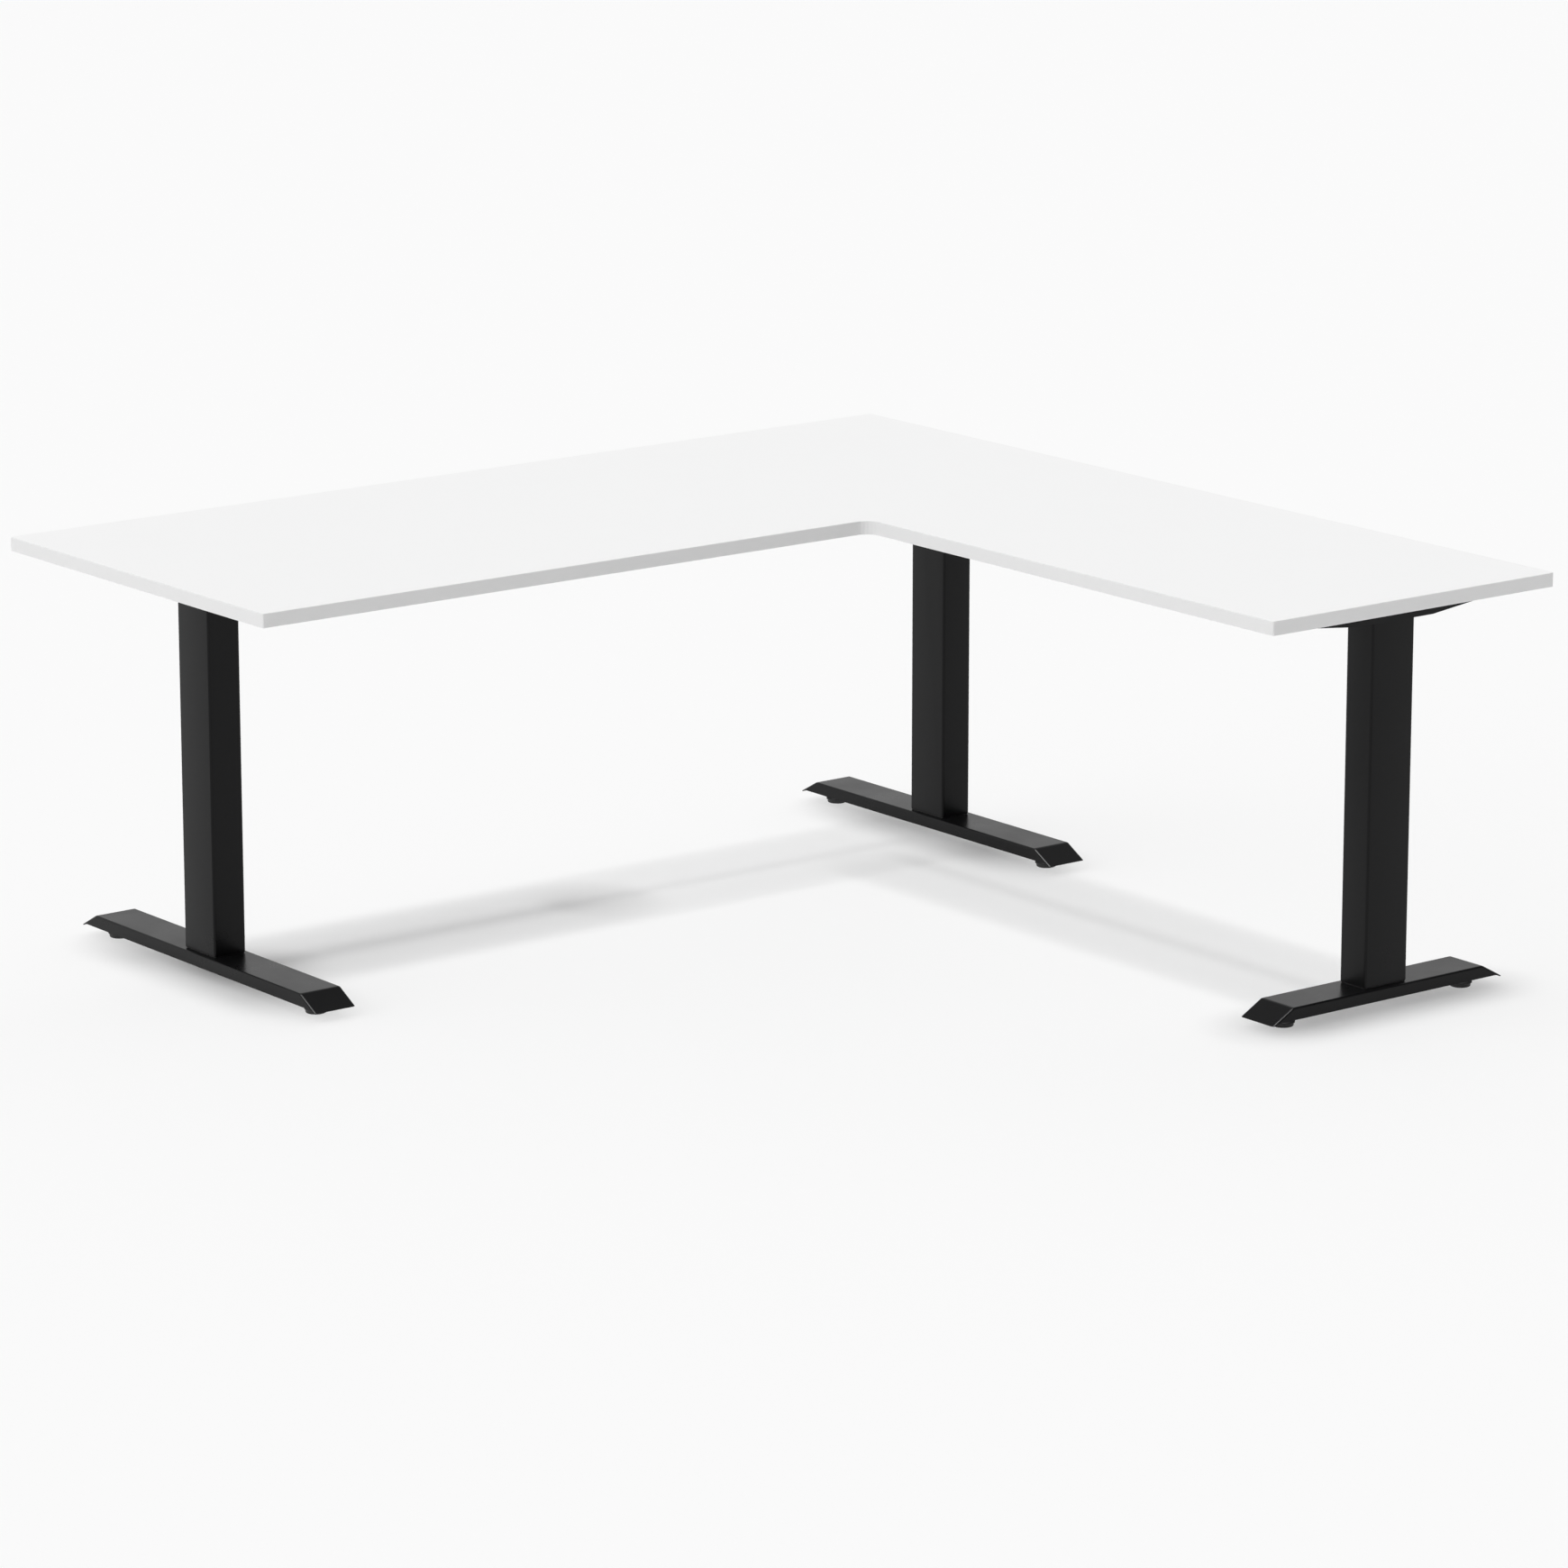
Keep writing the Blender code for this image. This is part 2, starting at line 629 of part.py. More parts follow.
def make_rails(empties, steel):
    left, right = empties["left"], empties["right"]
    main_end = MAIN_LENGTH - 2 * LEG_INSET - RAIL_START
    for name, side in (("front", -1), ("rear", 1)):
        make_rail(
            f"main_rail_{name}", left, side, MAIN_RAIL_FLANGE, RAIL_START, main_end, steel
        )
    tray_face = MAIN_LEG_Y - TRAY_HALF_WIDTH - RETURN_LEG_Y  # from the right leg's axis
    joint_end = tray_face - 2 * GAP
    joint_start = joint_end - RAIL_JOINT_LENGTH
    side_end = joint_end - STEEL - GAP
    for name, side in (("inner", 1), ("outer", -1)):
        make_rail(
            f"side_rail_{name}", right, side, SIDE_RAIL_FLANGE, RAIL_START, side_end, steel
        )
    stations = [(x, TRAY_FLANGE_BOTTOM) for x in (joint_start, joint_end - STEEL / 2)]
    joint = add("rail_joint", lofted(tray_loops(stations)), steel, right, smooth=True)
    end_plate = block(
        (joint_end - STEEL, -TRAY_HALF_WIDTH, TRAY_FLANGE_BOTTOM - END_PLATE_DROP),
        (joint_end, TRAY_HALF_WIDTH, FRAME_TOP),
    )
    boolean(joint, "UNION", "end_plate", end_plate)


# Electrics


def make_control_box(plastic):
    size = Vector(CONTROL_BOX)
    centre = Vector((CONTROL_BOX_X, MAIN_LEG_Y, FRAME_TOP - size.z / 2))
    shell = rounded_block(size, CONTROL_BOX_EDGE)
    case = add("control_box", shell, plastic, None, centre, smooth=True)
    end = size.x / 2
    pockets = [
        block(
            (-end - CUT_MARGIN, -INLET[0] / 2, -INLET[1] / 2),
            (-end + SOCKET_DEPTH, INLET[0] / 2, INLET[1] / 2),
        )
    ]
    for i in (-1, 0, 1):
        middle = i * SOCKET_PITCH
        pockets.append(
            block(
                (end - SOCKET_DEPTH, middle - SOCKET[0] / 2, -SOCKET[1] / 2),
                (end + CUT_MARGIN, middle + SOCKET[0] / 2, SOCKET[1] / 2),
            )
        )
    boolean(case, "DIFFERENCE", "sockets", merged(*pockets))


def make_handset(plastic, window_plastic, key_plastic):
    """Case with a row of pockets in its front face; the keys press in along +Y."""
    size = Vector(HANDSET)
    front = MAIN_FRONT_EDGE + HANDSET_SETBACK
    centre = Vector((HANDSET_X, front + size.y / 2, FRAME_TOP - size.z / 2))
    case = add("handset_case", rounded_block(size, HANDSET_EDGE), plastic, None, centre, smooth=True)
    face = -size.y / 2
    openings = [(WINDOW_X, WINDOW[0], WINDOW[1])]
    openings += [(x, width, KEY_HEIGHT) for x, width in KEYS.values()]
    pockets = [
        block(
            (x - width / 2 - GAP, face - CUT_MARGIN, -height / 2 - GAP),
            (x + width / 2 + GAP, face + POCKET_DEPTH, height / 2 + GAP),
        )
        for x, width, height in openings
    ]
    boolean(case, "DIFFERENCE", "pockets", merged(*pockets))
    width, height, depth = WINDOW
    window_y = front + depth / 2 + WINDOW_SUNK
    window = rounded_block((width, depth, height), KEY_EDGE / 2)
    place = (HANDSET_X + WINDOW_X, window_y, centre.z)
    add("handset_window", window, window_plastic, None, place, smooth=True)
    for name, (x, key_width) in KEYS.items():
        key = rounded_block((key_width, KEY_DEPTH, KEY_HEIGHT), KEY_EDGE)
        place = (HANDSET_X + x, front - KEY_PROUD + KEY_DEPTH / 2, centre.z)
        add(name, key, key_plastic, None, place, smooth=True)


def make_leg(leg, finishes):
    x, y, turn, flat = LEGS[leg]
    empty = bpy.data.objects.new(f"leg_{leg}", None)
    empty.location = (x, y, 0)
    empty.rotation_euler.z = math.radians(turn)
    bpy.context.scene.collection.objects.link(empty)
    coat, zinc, nylon, casting = (finishes[k] for k in ("coat", "zinc", "nylon", "casting"))
    make_foot(leg, empty, flat, coat)
    make_glides(leg, empty, flat, nylon)
    make_inner_tube(leg, empty, coat)
    make_middle_tube(leg, empty, coat)
    make_outer_tube(leg, empty, coat)
    make_collar(
        f"outer_collar_{leg}", empty, OUTER_TUBE, MIDDLE_TUBE, COLLAR_LIP_INSET, nylon
    )
    make_collar(f"middle_collar_{leg}", empty, MIDDLE_TUBE, INNER_TUBE, GAP, nylon)
    make_screws(leg, empty, zinc)
    make_nut(
        f"lower_nut_{leg}", empty, INNER_TUBE, INNER_TUBE_TOP, NUT_PLUG_DEPTH,
        HOLLOW_SCREW_RADIUS + GAP, nylon,
    )
    make_nut(
        f"upper_nut_{leg}", empty, MIDDLE_TUBE, MIDDLE_TUBE_TOP, UPPER_NUT_PLUG_DEPTH,
        DRIVE_SCREW_RADIUS + GAP, nylon,
    )
    make_gear_motor(leg, empty, casting)
    make_side_bracket(leg, empty, coat)
    make_rail_tray(leg, empty, coat)
    return empty


def make_desk():
    clear_scene()
    finishes = {
        "melamine": finish("white_melamine", (0.90, 0.90, 0.90), 0.45),
        "banding": finish("white_abs_band", (0.89, 0.89, 0.89), 0.40),
        "coat": finish("black_powder_coat", (0.020, 0.020, 0.021), 0.55),
        "zinc": finish("zinc_plated_steel", (0.62, 0.62, 0.60), 0.35, 1.0),
        "nylon": finish("black_nylon", (0.025, 0.025, 0.026), 0.60),
        "casting": finish("painted_motor_case", (0.060, 0.060, 0.062), 0.45),
        "case": finish("black_abs", (0.030, 0.030, 0.032), 0.50),
        "window": finish("smoked_window", (0.010, 0.010, 0.012), 0.10),
        "key": finish("grey_key_plastic", (0.22, 0.22, 0.23), 0.55),
    }
    make_worktop(finishes["melamine"], finishes["banding"])
    empties = {leg: make_leg(leg, finishes) for leg in LEGS}
    make_rails(empties, finishes["coat"])
    make_control_box(finishes["case"])
    make_handset(finishes["case"], finishes["window"], finishes["key"])


make_desk()
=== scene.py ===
# %% [markdown]
# # A height adjustable corner desk
# This lesson dresses a desk whose solid model is already built: an L-shaped white worktop on
# three black telescopic legs, each driven by its own motor. The solid model gives every place
# and size. Here its parts get their finishes, and the pieces that a solid model keeps plain,
# such as glides, threads, screws and sockets, are made in full.
#
# The first cell loads that model. Its pieces are called nodes, and the groups that move
# together are called bodies.

# %% Load the desk's solid model
import json
import math

import bmesh
import bpy
from mathutils import Matrix, Vector

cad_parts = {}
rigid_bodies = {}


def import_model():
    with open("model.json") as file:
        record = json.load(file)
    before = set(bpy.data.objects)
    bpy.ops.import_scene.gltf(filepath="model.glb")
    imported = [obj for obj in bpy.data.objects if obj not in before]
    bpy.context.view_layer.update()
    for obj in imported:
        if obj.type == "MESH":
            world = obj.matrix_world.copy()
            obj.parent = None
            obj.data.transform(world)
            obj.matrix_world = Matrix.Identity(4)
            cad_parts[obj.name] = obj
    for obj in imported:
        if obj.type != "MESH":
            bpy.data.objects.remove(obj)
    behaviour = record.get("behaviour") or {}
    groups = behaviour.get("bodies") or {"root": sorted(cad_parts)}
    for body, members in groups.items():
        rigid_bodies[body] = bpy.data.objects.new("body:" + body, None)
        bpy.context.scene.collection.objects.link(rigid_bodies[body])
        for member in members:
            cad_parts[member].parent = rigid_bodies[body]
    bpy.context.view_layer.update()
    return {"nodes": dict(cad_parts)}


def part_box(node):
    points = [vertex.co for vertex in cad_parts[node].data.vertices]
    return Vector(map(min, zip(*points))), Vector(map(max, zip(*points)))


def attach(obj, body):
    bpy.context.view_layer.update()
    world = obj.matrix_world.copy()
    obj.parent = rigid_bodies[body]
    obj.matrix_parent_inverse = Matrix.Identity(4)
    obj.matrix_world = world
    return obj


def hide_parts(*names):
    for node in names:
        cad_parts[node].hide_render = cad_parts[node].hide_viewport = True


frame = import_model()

scene = bpy.context.scene
nodes = frame["nodes"]

# %% [markdown]
# ## Camera
# A long lens far from the desk keeps its verticals nearly parallel, as furniture is usually
# pictured. The camera looks down a little, across the inner corner of the L, with the main
# worktop running away to the left. A camera could be aimed with a Track To constraint, but
# turning its axis straight to a known direction needs no helper object and never changes.

# %% Camera
CAMERA_PLACE = Vector((-6.2922, -8.1523, 2.8262))
CAMERA_YAW = 37.769  # degrees from +Y towards +X
CAMERA_PITCH = -13.779
LENS = 149.35  # mm, on a 36 mm wide sensor

camera = bpy.data.objects.new("camera", bpy.data.cameras.new("camera"))
camera.data.lens = LENS
camera.data.sensor_width = 36
camera.data.clip_end = 500
camera.location = CAMERA_PLACE
camera.rotation_euler = (math.radians(90 + CAMERA_PITCH), 0, math.radians(-CAMERA_YAW))
scene.collection.objects.link(camera)
scene.camera = camera
print("camera stands", round(CAMERA_PLACE.length, 2), "m from the desk")

# %% [markdown]
# ## Helpers for finishes
# Colours are written as sRGB hex, the way a paint chart gives them, while shaders work in
# linear light, so one function converts. Another adds a shader or geometry node, gives it its
# settings, and links or fills its sockets. A third starts a material with the Principled
# shader's own sockets set straight to the finish's typical values.

# %% Colours and nodes
def linear(hex_colour):
    """An sRGB hex colour as linear RGBA."""
    channels = [int(hex_colour[i : i + 2], 16) / 255 for i in (1, 3, 5)]
    bend = [c / 12.92 if c <= 0.04045 else ((c + 0.055) / 1.055) ** 2.4 for c in channels]
    return (*bend, 1.0)


def add_node(tree, kind, settings=(), sockets=()):
    """Adds a node. Settings are its attributes; a socket takes a value or another's output."""
    node = tree.nodes.new(kind)
    for name, value in dict(settings).items():
        setattr(node, name, value)
    for key, value in dict(sockets).items():
        if isinstance(value, bpy.types.NodeSocket):
            tree.links.new(value, node.inputs[key])
        else:
            node.inputs[key].default_value = value
    return node


def start_finish(name, colour, sockets):
    """A material whose Principled shader has these values; returns it, its tree and shader."""
    material = bpy.data.materials.new(name)
    material.use_nodes = True
    material.diffuse_color = linear(colour)
    shader = material.node_tree.nodes["Principled BSDF"]
    shader.inputs["Base Color"].default_value = linear(colour)
    for key, value in sockets.items():
        shader.inputs[key].default_value = value
    return material, material.node_tree, shader


def surface_grain(tree, shader, grain_mm, height_mm, strength, roughness):
    """Fine relief of one grain size, with the roughness drifting between two values over it."""
    place = add_node(tree, "ShaderNodeTexCoord").outputs["Object"]
    scale = 1000 / grain_mm  # the noise's features are about one grain across
    grain = add_node(tree, "ShaderNodeTexNoise", {}, {
        "Vector": place, "Scale": scale, "Detail": 2.0, "Roughness": 0.55,
    })
    bump = add_node(tree, "ShaderNodeBump", {}, {
        "Height": grain.outputs["Fac"], "Strength": strength, "Distance": height_mm / 1000,
    })
    tree.links.new(bump.outputs["Normal"], shader.inputs["Normal"])
    drift = add_node(tree, "ShaderNodeTexNoise", {}, {
        "Vector": place, "Scale": 9.0, "Detail": 3.0, "Roughness": 0.6,
    })
    span = add_node(tree, "ShaderNodeMapRange", {}, {
        "Value": drift.outputs["Fac"], "From Min": 0.3, "From Max": 0.7,
        "To Min": roughness[0], "To Max": roughness[1],
    })
    tree.links.new(span.outputs["Result"], shader.inputs["Roughness"])
    return grain, drift


print("white, as linear light:", linear("#FFFFFF"))

# %% [markdown]
# ## White melamine on the board
# The worktop is chipboard pressed between melamine-soaked papers. The press plate leaves a
# very fine pearl, under half a millimetre across, so the white is neither glossy nor chalky.
# The pearl is drawn at 1.2 mm so that it can show, and very shallow.

# %% Melamine
melamine, tree, shader = start_finish(
    "white melamine", "#F6F6F6", {"IOR": 1.50, "Specular IOR Level": 0.5}
)
surface_grain(tree, shader, 1.2, 0.02, 0.10, (0.42, 0.50))
print(melamine.name)

# %% [markdown]
# ## White ABS edge band
# A 2 mm strip of solid-coloured ABS is glued round the board and trimmed flush, with its sharp
# corners scraped off. It is a little smoother than the melamine, and its rolled surface has a
# faint ripple across the thickness.

# %% Edge band plastic
edge_plastic, tree, shader = start_finish(
    "white ABS edge band", "#ECECEC", {"IOR": 1.53, "Specular IOR Level": 0.5}
)
surface_grain(tree, shader, 0.8, 0.01, 0.08, (0.36, 0.44))
print(edge_plastic.name)

# %% [markdown]
# ## Black powder coat
# Feet, columns, brackets and rails are steel with a baked polyester powder. The powder melts
# into a skin with a fine orange peel, so a face is deep black straight on and turns silvery
# where it is seen at a low angle. The peel of a fine coat is about 1 mm across. Where the steel
# is folded, the skin draws thinner and catches the light in a soft line: a bevel on the edge
# gives that by itself. The resin's IOR is about 1.5. It is set lower here, because the faces
# shine less straight on than that would give.

# %% Powder coat
powder_coat, tree, shader = start_finish(
    "black powder coat", "#121213", {"IOR": 1.25, "Specular IOR Level": 0.5}
)
grain, drift = surface_grain(tree, shader, 1.0, 0.02, 0.10, (0.27, 0.33))
shade = add_node(tree, "ShaderNodeMix", {"data_type": "RGBA"}, {
    "Factor": grain.outputs["Fac"], "A": linear("#0F0F10"), "B": linear("#151516"),
})
tree.links.new(shade.outputs["Result"], shader.inputs["Base Color"])
print(powder_coat.name)

# %% [markdown]
# ## Zinc plated steel
# Spindles, screws and studs are plated with bright zinc. Its crystals give a bluish metal that
# is blotchy in both tint and gloss.

# %% Zinc
zinc, tree, shader = start_finish("bright zinc plate", "#BFC2C4", {"Metallic": 1.0})
grain, drift = surface_grain(tree, shader, 0.6, 0.01, 0.12, (0.24, 0.38))
tint = add_node(tree, "ShaderNodeMix", {"data_type": "RGBA"}, {
    "Factor": drift.outputs["Fac"], "A": linear("#AEB3B8"), "B": linear("#CBC9C2"),
})
tree.links.new(tint.outputs["Result"], shader.inputs["Base Color"])
print(zinc.name)

# %% [markdown]
# ## Black oxide steel
# The bolts that hold the frame together are black: steel dipped in hot oxide salts and oiled.
# It is a thin dark film on metal, so it shines more than the powder coat around it.

# %% Black oxide
black_oxide, tree, shader = start_finish("black oxide steel", "#2B2B2D", {"Metallic": 1.0})
surface_grain(tree, shader, 0.5, 0.01, 0.15, (0.30, 0.42))
print(black_oxide.name)

# %% [markdown]
# ## Moulded black nylon
# Glides, guide collars and spindle nuts are injection moulded polyamide. Its mould is left
# with a matt spark-eroded skin of about 0.3 mm grain, drawn at 0.7 mm.

# %% Nylon
nylon, tree, shader = start_finish("black nylon", "#1B1B1C", {"IOR": 1.53})
surface_grain(tree, shader, 0.7, 0.03, 0.25, (0.46, 0.58))
print(nylon.name)

# %% [markdown]
# ## Motor and gearbox paint
# The gearbox is a zinc die casting and the motor a drawn steel can, both under thin black
# paint. Castings keep a pebbly skin, with grains of about 1.5 mm.

# %% Motor paint
motor_paint, tree, shader = start_finish("painted motor case", "#2E2E30", {"IOR": 1.50})
surface_grain(tree, shader, 1.5, 0.05, 0.35, (0.34, 0.48))
print(motor_paint.name)

# %% [markdown]
# ## Black ABS cases
# The control box and the handset are moulded ABS with an etched texture, finer than the
# casting's. Two more plastics belong to the handset: a smoked acrylic window, which is glossy
# and nearly black, and grey silicone keys, which are soft and matt with pale printed marks.

# %% Case plastic, window, keys and print
case_plastic, tree, shader = start_finish("black ABS", "#242426", {"IOR": 1.53})
surface_grain(tree, shader, 0.8, 0.03, 0.30, (0.48, 0.58))

smoked_window, tree, shader = start_finish(
    "smoked acrylic", "#0B0B0D", {"IOR": 1.49, "Coat Weight": 0.6, "Coat Roughness": 0.03}
)
surface_grain(tree, shader, 6.0, 0.01, 0.03, (0.06, 0.10))

key_rubber, tree, shader = start_finish("grey silicone", "#77777A", {"IOR": 1.41})
surface_grain(tree, shader, 0.6, 0.02, 0.25, (0.55, 0.66))

print_ink, tree, shader = start_finish("pale key print", "#E4E4E2", {"IOR": 1.50})
surface_grain(tree, shader, 0.4, 0.005, 0.10, (0.50, 0.60))

brass, tree, shader = start_finish("brass contact", "#C9A45A", {"Metallic": 1.0})
surface_grain(tree, shader, 0.8, 0.005, 0.08, (0.22, 0.32))
print(case_plastic.name, smoked_window.name, key_rubber.name, print_ink.name, brass.name)

# %% [markdown]
# ## Finishes for the nodes that stay
# A node whose solid shape is already right keeps its mesh and only changes its material. The
# names say what each is, so a short table from name to finish covers them all.

# %% Dress the solid nodes
NODE_FINISHES = (
    ("desktop", melamine),
    ("edge_band", edge_plastic),
    ("outer_collar", nylon),
    ("middle_collar", nylon),
    ("upper_nut", nylon),
    ("lower_nut", nylon),
    ("glide", nylon),
    ("drive_screw", zinc),
    ("hollow_screw", zinc),
    ("gear_motor", motor_paint),
    ("control_box", case_plastic),
    ("handset_case", case_plastic),
    ("handset_window", smoked_window),
    ("memory_key", key_rubber),
    ("up_key", key_rubber),
    ("down_key", key_rubber),
)


def finish_of(node_name):
    """The finish of a node; what isn't in the table is powder coated steel."""
    for start, material in NODE_FINISHES:
        if node_name.startswith(start):
            return material
    return powder_coat


for name, obj in nodes.items():
    obj.data.materials.clear()
    obj.data.materials.append(finish_of(name))
print(sum(finish_of(name) is powder_coat for name in nodes), "nodes are powder coated")

# %% [markdown]
# ## Where each leg stands
# The three legs are one design, turned to face the rails. Working in a leg's own directions,
# with X towards the rails and Y along the foot, lets one function make the same piece for all
# three. Both directions are read from the solid model: the column's middle gives the axis, and
# the rail tray lies on the inner side.

# %% Leg places
LEGS = ("left", "corner", "right")


def leg_place(leg):
    """Matrix from a leg's own directions to the desk's."""
    axis = sum(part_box(f"outer_tube_{leg}"), Vector()) / 2
    inward = sum(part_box(f"rail_tray_{leg}"), Vector()) / 2 - axis
    inward.z = 0
    inward.normalize()
    along = Vector((0, 0, 1)).cross(inward)
    place = Matrix((inward, along, (0, 0, 1))).transposed().to_4x4()
    place.translation = (axis.x, axis.y, 0)
    return place


LEG_PLACES = {leg: leg_place(leg) for leg in LEGS}
print({leg: [round(v, 3) for v in place.translation] for leg, place in LEG_PLACES.items()})

# %% [markdown]
# ## Helpers for shapes
# Most small parts here were turned on a lathe or cast with rounded edges, so two shapes cover
# them: a profile spun round an axis, and a block with rounded edges. A third helper cuts one
# closed shape from another with an exact Boolean. The last puts a finished mesh in the scene:
# its place goes into its points, and it is told which body it moves with.

# %% Shapes
def spun(profile, sides=48):
    """Closed shape of revolution about Z through (radius, z) points, in metres."""
    bm = bmesh.new()
    rings = []
    for radius, z in profile:
        turn = [2 * math.pi * i / sides for i in range(sides)]
        rings.append([bm.verts.new((radius * math.cos(a), radius * math.sin(a), z)) for a in turn])
    for lower, upper in zip(rings, rings[1:]):
        for i in range(sides):
            bm.faces.new((lower[i - 1], lower[i], upper[i], upper[i - 1]))
    bm.faces.new(rings[0])
    bm.faces.new(rings[-1])
    bmesh.ops.recalc_face_normals(bm, faces=bm.faces)
    return bm


def cushioned(size, radius, centre=(0, 0, 0), segments=3):
    """Block with every edge rounded, about its centre."""
    bm = bmesh.new()
    bmesh.ops.create_cube(bm, size=1)
    bmesh.ops.scale(bm, verts=bm.verts, vec=size)
    bmesh.ops.bevel(
        bm, geom=bm.edges[:], offset=radius, segments=segments, profile=0.5, affect="EDGES"
    )
    bmesh.ops.translate(bm, verts=bm.verts, vec=centre)
    bmesh.ops.recalc_face_normals(bm, faces=bm.faces)
    return bm


def prism(outline, bottom, top):
    """Upright prism over a flat outline of (x, y) points."""
    bm = bmesh.new()
    rings = [[bm.verts.new((x, y, z)) for x, y in outline] for z in (bottom, top)]
    for i in range(len(outline)):
        bm.faces.new((rings[0][i - 1], rings[0][i], rings[1][i], rings[1][i - 1]))
    bm.faces.new(rings[0])
    bm.faces.new(rings[1])
    bmesh.ops.recalc_face_normals(bm, faces=bm.faces)
    return bm


def hexagon_outline(radius):
    """Six corners of a hexagon about the origin, at this radius."""
    corners = [math.radians(60 * i) for i in range(6)]
    return [(radius * math.cos(a), radius * math.sin(a)) for a in corners]


def mesh_of(shapes, place=Matrix(), round_below=35):
    """One mesh from closed shapes, moved to its place; edges flatter than the angle are smooth."""
    whole = bpy.data.meshes.new("shapes")
    joined = bmesh.new()
    for shape in shapes:
        shape.to_mesh(whole)
        shape.free()
        joined.from_mesh(whole)
    joined.to_mesh(whole)
    joined.free()
    whole.transform(place)
    whole.shade_smooth()
    whole.set_sharp_from_angle(angle=math.radians(round_below))
    return whole


def applied(obj):
    """The plain mesh of an object's modifiers; the object is removed."""
    graph = bpy.context.evaluated_depsgraph_get()
    mesh = bpy.data.meshes.new_from_object(obj.evaluated_get(graph), depsgraph=graph)
    bpy.data.objects.remove(obj, do_unlink=True)
    return mesh


def carve(mesh, cutter_mesh, operation="DIFFERENCE"):
    """A closed mesh with another cut from it or added to it."""
    body, cutter = (bpy.data.objects.new("carving", m) for m in (mesh, cutter_mesh))
    for obj in (body, cutter):
        scene.collection.objects.link(obj)
    step = body.modifiers.new("carve", "BOOLEAN")
    step.operation, step.solver, step.object = operation, "EXACT", cutter
    result = applied(body)
    bpy.data.objects.remove(cutter, do_unlink=True)
    return result


def settle(name, mesh, finish, body):
    """A finished mesh as a piece that moves with a body."""
    mesh.name = name
    mesh.materials.clear()
    mesh.materials.append(finish)
    mesh.shade_smooth()
    mesh.set_sharp_from_angle(angle=math.radians(35))
    piece = bpy.data.objects.new(name, mesh)
    scene.collection.objects.link(piece)
    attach(piece, body)
    return piece


print("helpers ready")

# %% [markdown]
# ## Geometry Nodes trees
# Three things on this desk follow a rule: tubes of one section, threads, and fasteners set out
# on a pattern. Each is a small Geometry Nodes tree with named sizes, so the same tree makes
# them all. A tree is run on an object, turned into a plain mesh, and its modifier is gone.
# A modifier's inputs are set by each socket's identifier, which the tree gives when the socket
# is made.

# %% Growing a mesh from a tree
KINDS = {float: "NodeSocketFloat", int: "NodeSocketInt", "object": "NodeSocketObject"}


def new_tree(name, sizes):
    """An empty tree with a geometry input and output, a finish, and these named sizes."""
    tree = bpy.data.node_groups.new(name, "GeometryNodeTree")
    face = tree.interface
    face.new_socket("Geometry", in_out="INPUT", socket_type="NodeSocketGeometry")
    face.new_socket("Geometry", in_out="OUTPUT", socket_type="NodeSocketGeometry")
    for label, default in sizes.items():
        kind = KINDS["object"] if default is None else KINDS[type(default)]
        socket = face.new_socket(label, in_out="INPUT", socket_type=kind)
        if default is not None:
            socket.default_value = default
    face.new_socket("Finish", in_out="INPUT", socket_type="NodeSocketMaterial")
    given = tree.nodes.new("NodeGroupInput").outputs
    return tree, given


def end_tree(tree, given, geometry):
    """Closes a tree: real geometry, in the finish it was given."""
    real = add_node(tree, "GeometryNodeRealizeInstances", {}, {"Geometry": geometry})
    dressed = add_node(tree, "GeometryNodeSetMaterial", {}, {
        "Geometry": real.outputs["Geometry"], "Material": given["Finish"],
    })
    out = tree.nodes.new("NodeGroupOutput")
    tree.links.new(dressed.outputs["Geometry"], out.inputs["Geometry"])


def grow(tree, values, seed_mesh=None):
    """Runs a tree with these values and returns the mesh that it makes."""
    host = bpy.data.objects.new("host", seed_mesh or bpy.data.meshes.new("host"))
    scene.collection.objects.link(host)
    modifier = host.modifiers.new("grow", "NODES")
    modifier.node_group = tree
    for socket in tree.interface.items_tree:
        if socket.in_out == "INPUT" and socket.name in values:
            modifier[socket.identifier] = values[socket.name]
    return applied(host)


print("trees are run by grow()")

# %% [markdown]
# ## Column tubes
# Each column is a welded, rolled steel tube of 60 by 90 mm with rounded corners, and two
# smaller tubes slide inside it. The solid model rounds the corners in three steps. A tree can
# draw the same section with finer corners: two rounded rectangles, one inside the other, are
# filled to a ring, and the ring is drawn up to the tube's height. The bottom ring is kept and
# flipped, so that the tube is closed.

# %% Tube tree
tube_tree, given = new_tree("rolled tube", {
    "Width": 0.060, "Depth": 0.090, "Corner radius": 0.004, "Corner steps": 8,
    "Wall": 0.0015, "Bottom": 0.0, "Top": 0.6,
})
sections = []
for inset in (0, 1):
    sizes = []
    for label, share in (("Width", 2), ("Depth", 2), ("Corner radius", 1)):
        smaller = add_node(tube_tree, "ShaderNodeMath", {"operation": "MULTIPLY_ADD"}, {
            0: given["Wall"], 1: -float(share * inset), 2: given[label],
        })
        sizes.append(smaller.outputs[0])
    rectangle = add_node(tube_tree, "GeometryNodeCurvePrimitiveQuadrilateral", {}, {
        "Width": sizes[0], "Height": sizes[1],
    })
    rounded = add_node(tube_tree, "GeometryNodeFilletCurve", {"mode": "POLY"}, {
        "Curve": rectangle.outputs["Curve"], "Count": given["Corner steps"], "Radius": sizes[2],
    })
    sections.append(rounded.outputs["Curve"])
both = tube_tree.nodes.new("GeometryNodeJoinGeometry")
for section in sections:
    tube_tree.links.new(section, both.inputs[0])
ring = add_node(tube_tree, "GeometryNodeFillCurve", {}, {"Curve": both.outputs[0]})
foot_of_tube = add_node(tube_tree, "ShaderNodeCombineXYZ", {}, {"Z": given["Bottom"]})
ring_low = add_node(tube_tree, "GeometryNodeTransform", {}, {
    "Geometry": ring.outputs["Mesh"], "Translation": foot_of_tube.outputs[0],
})
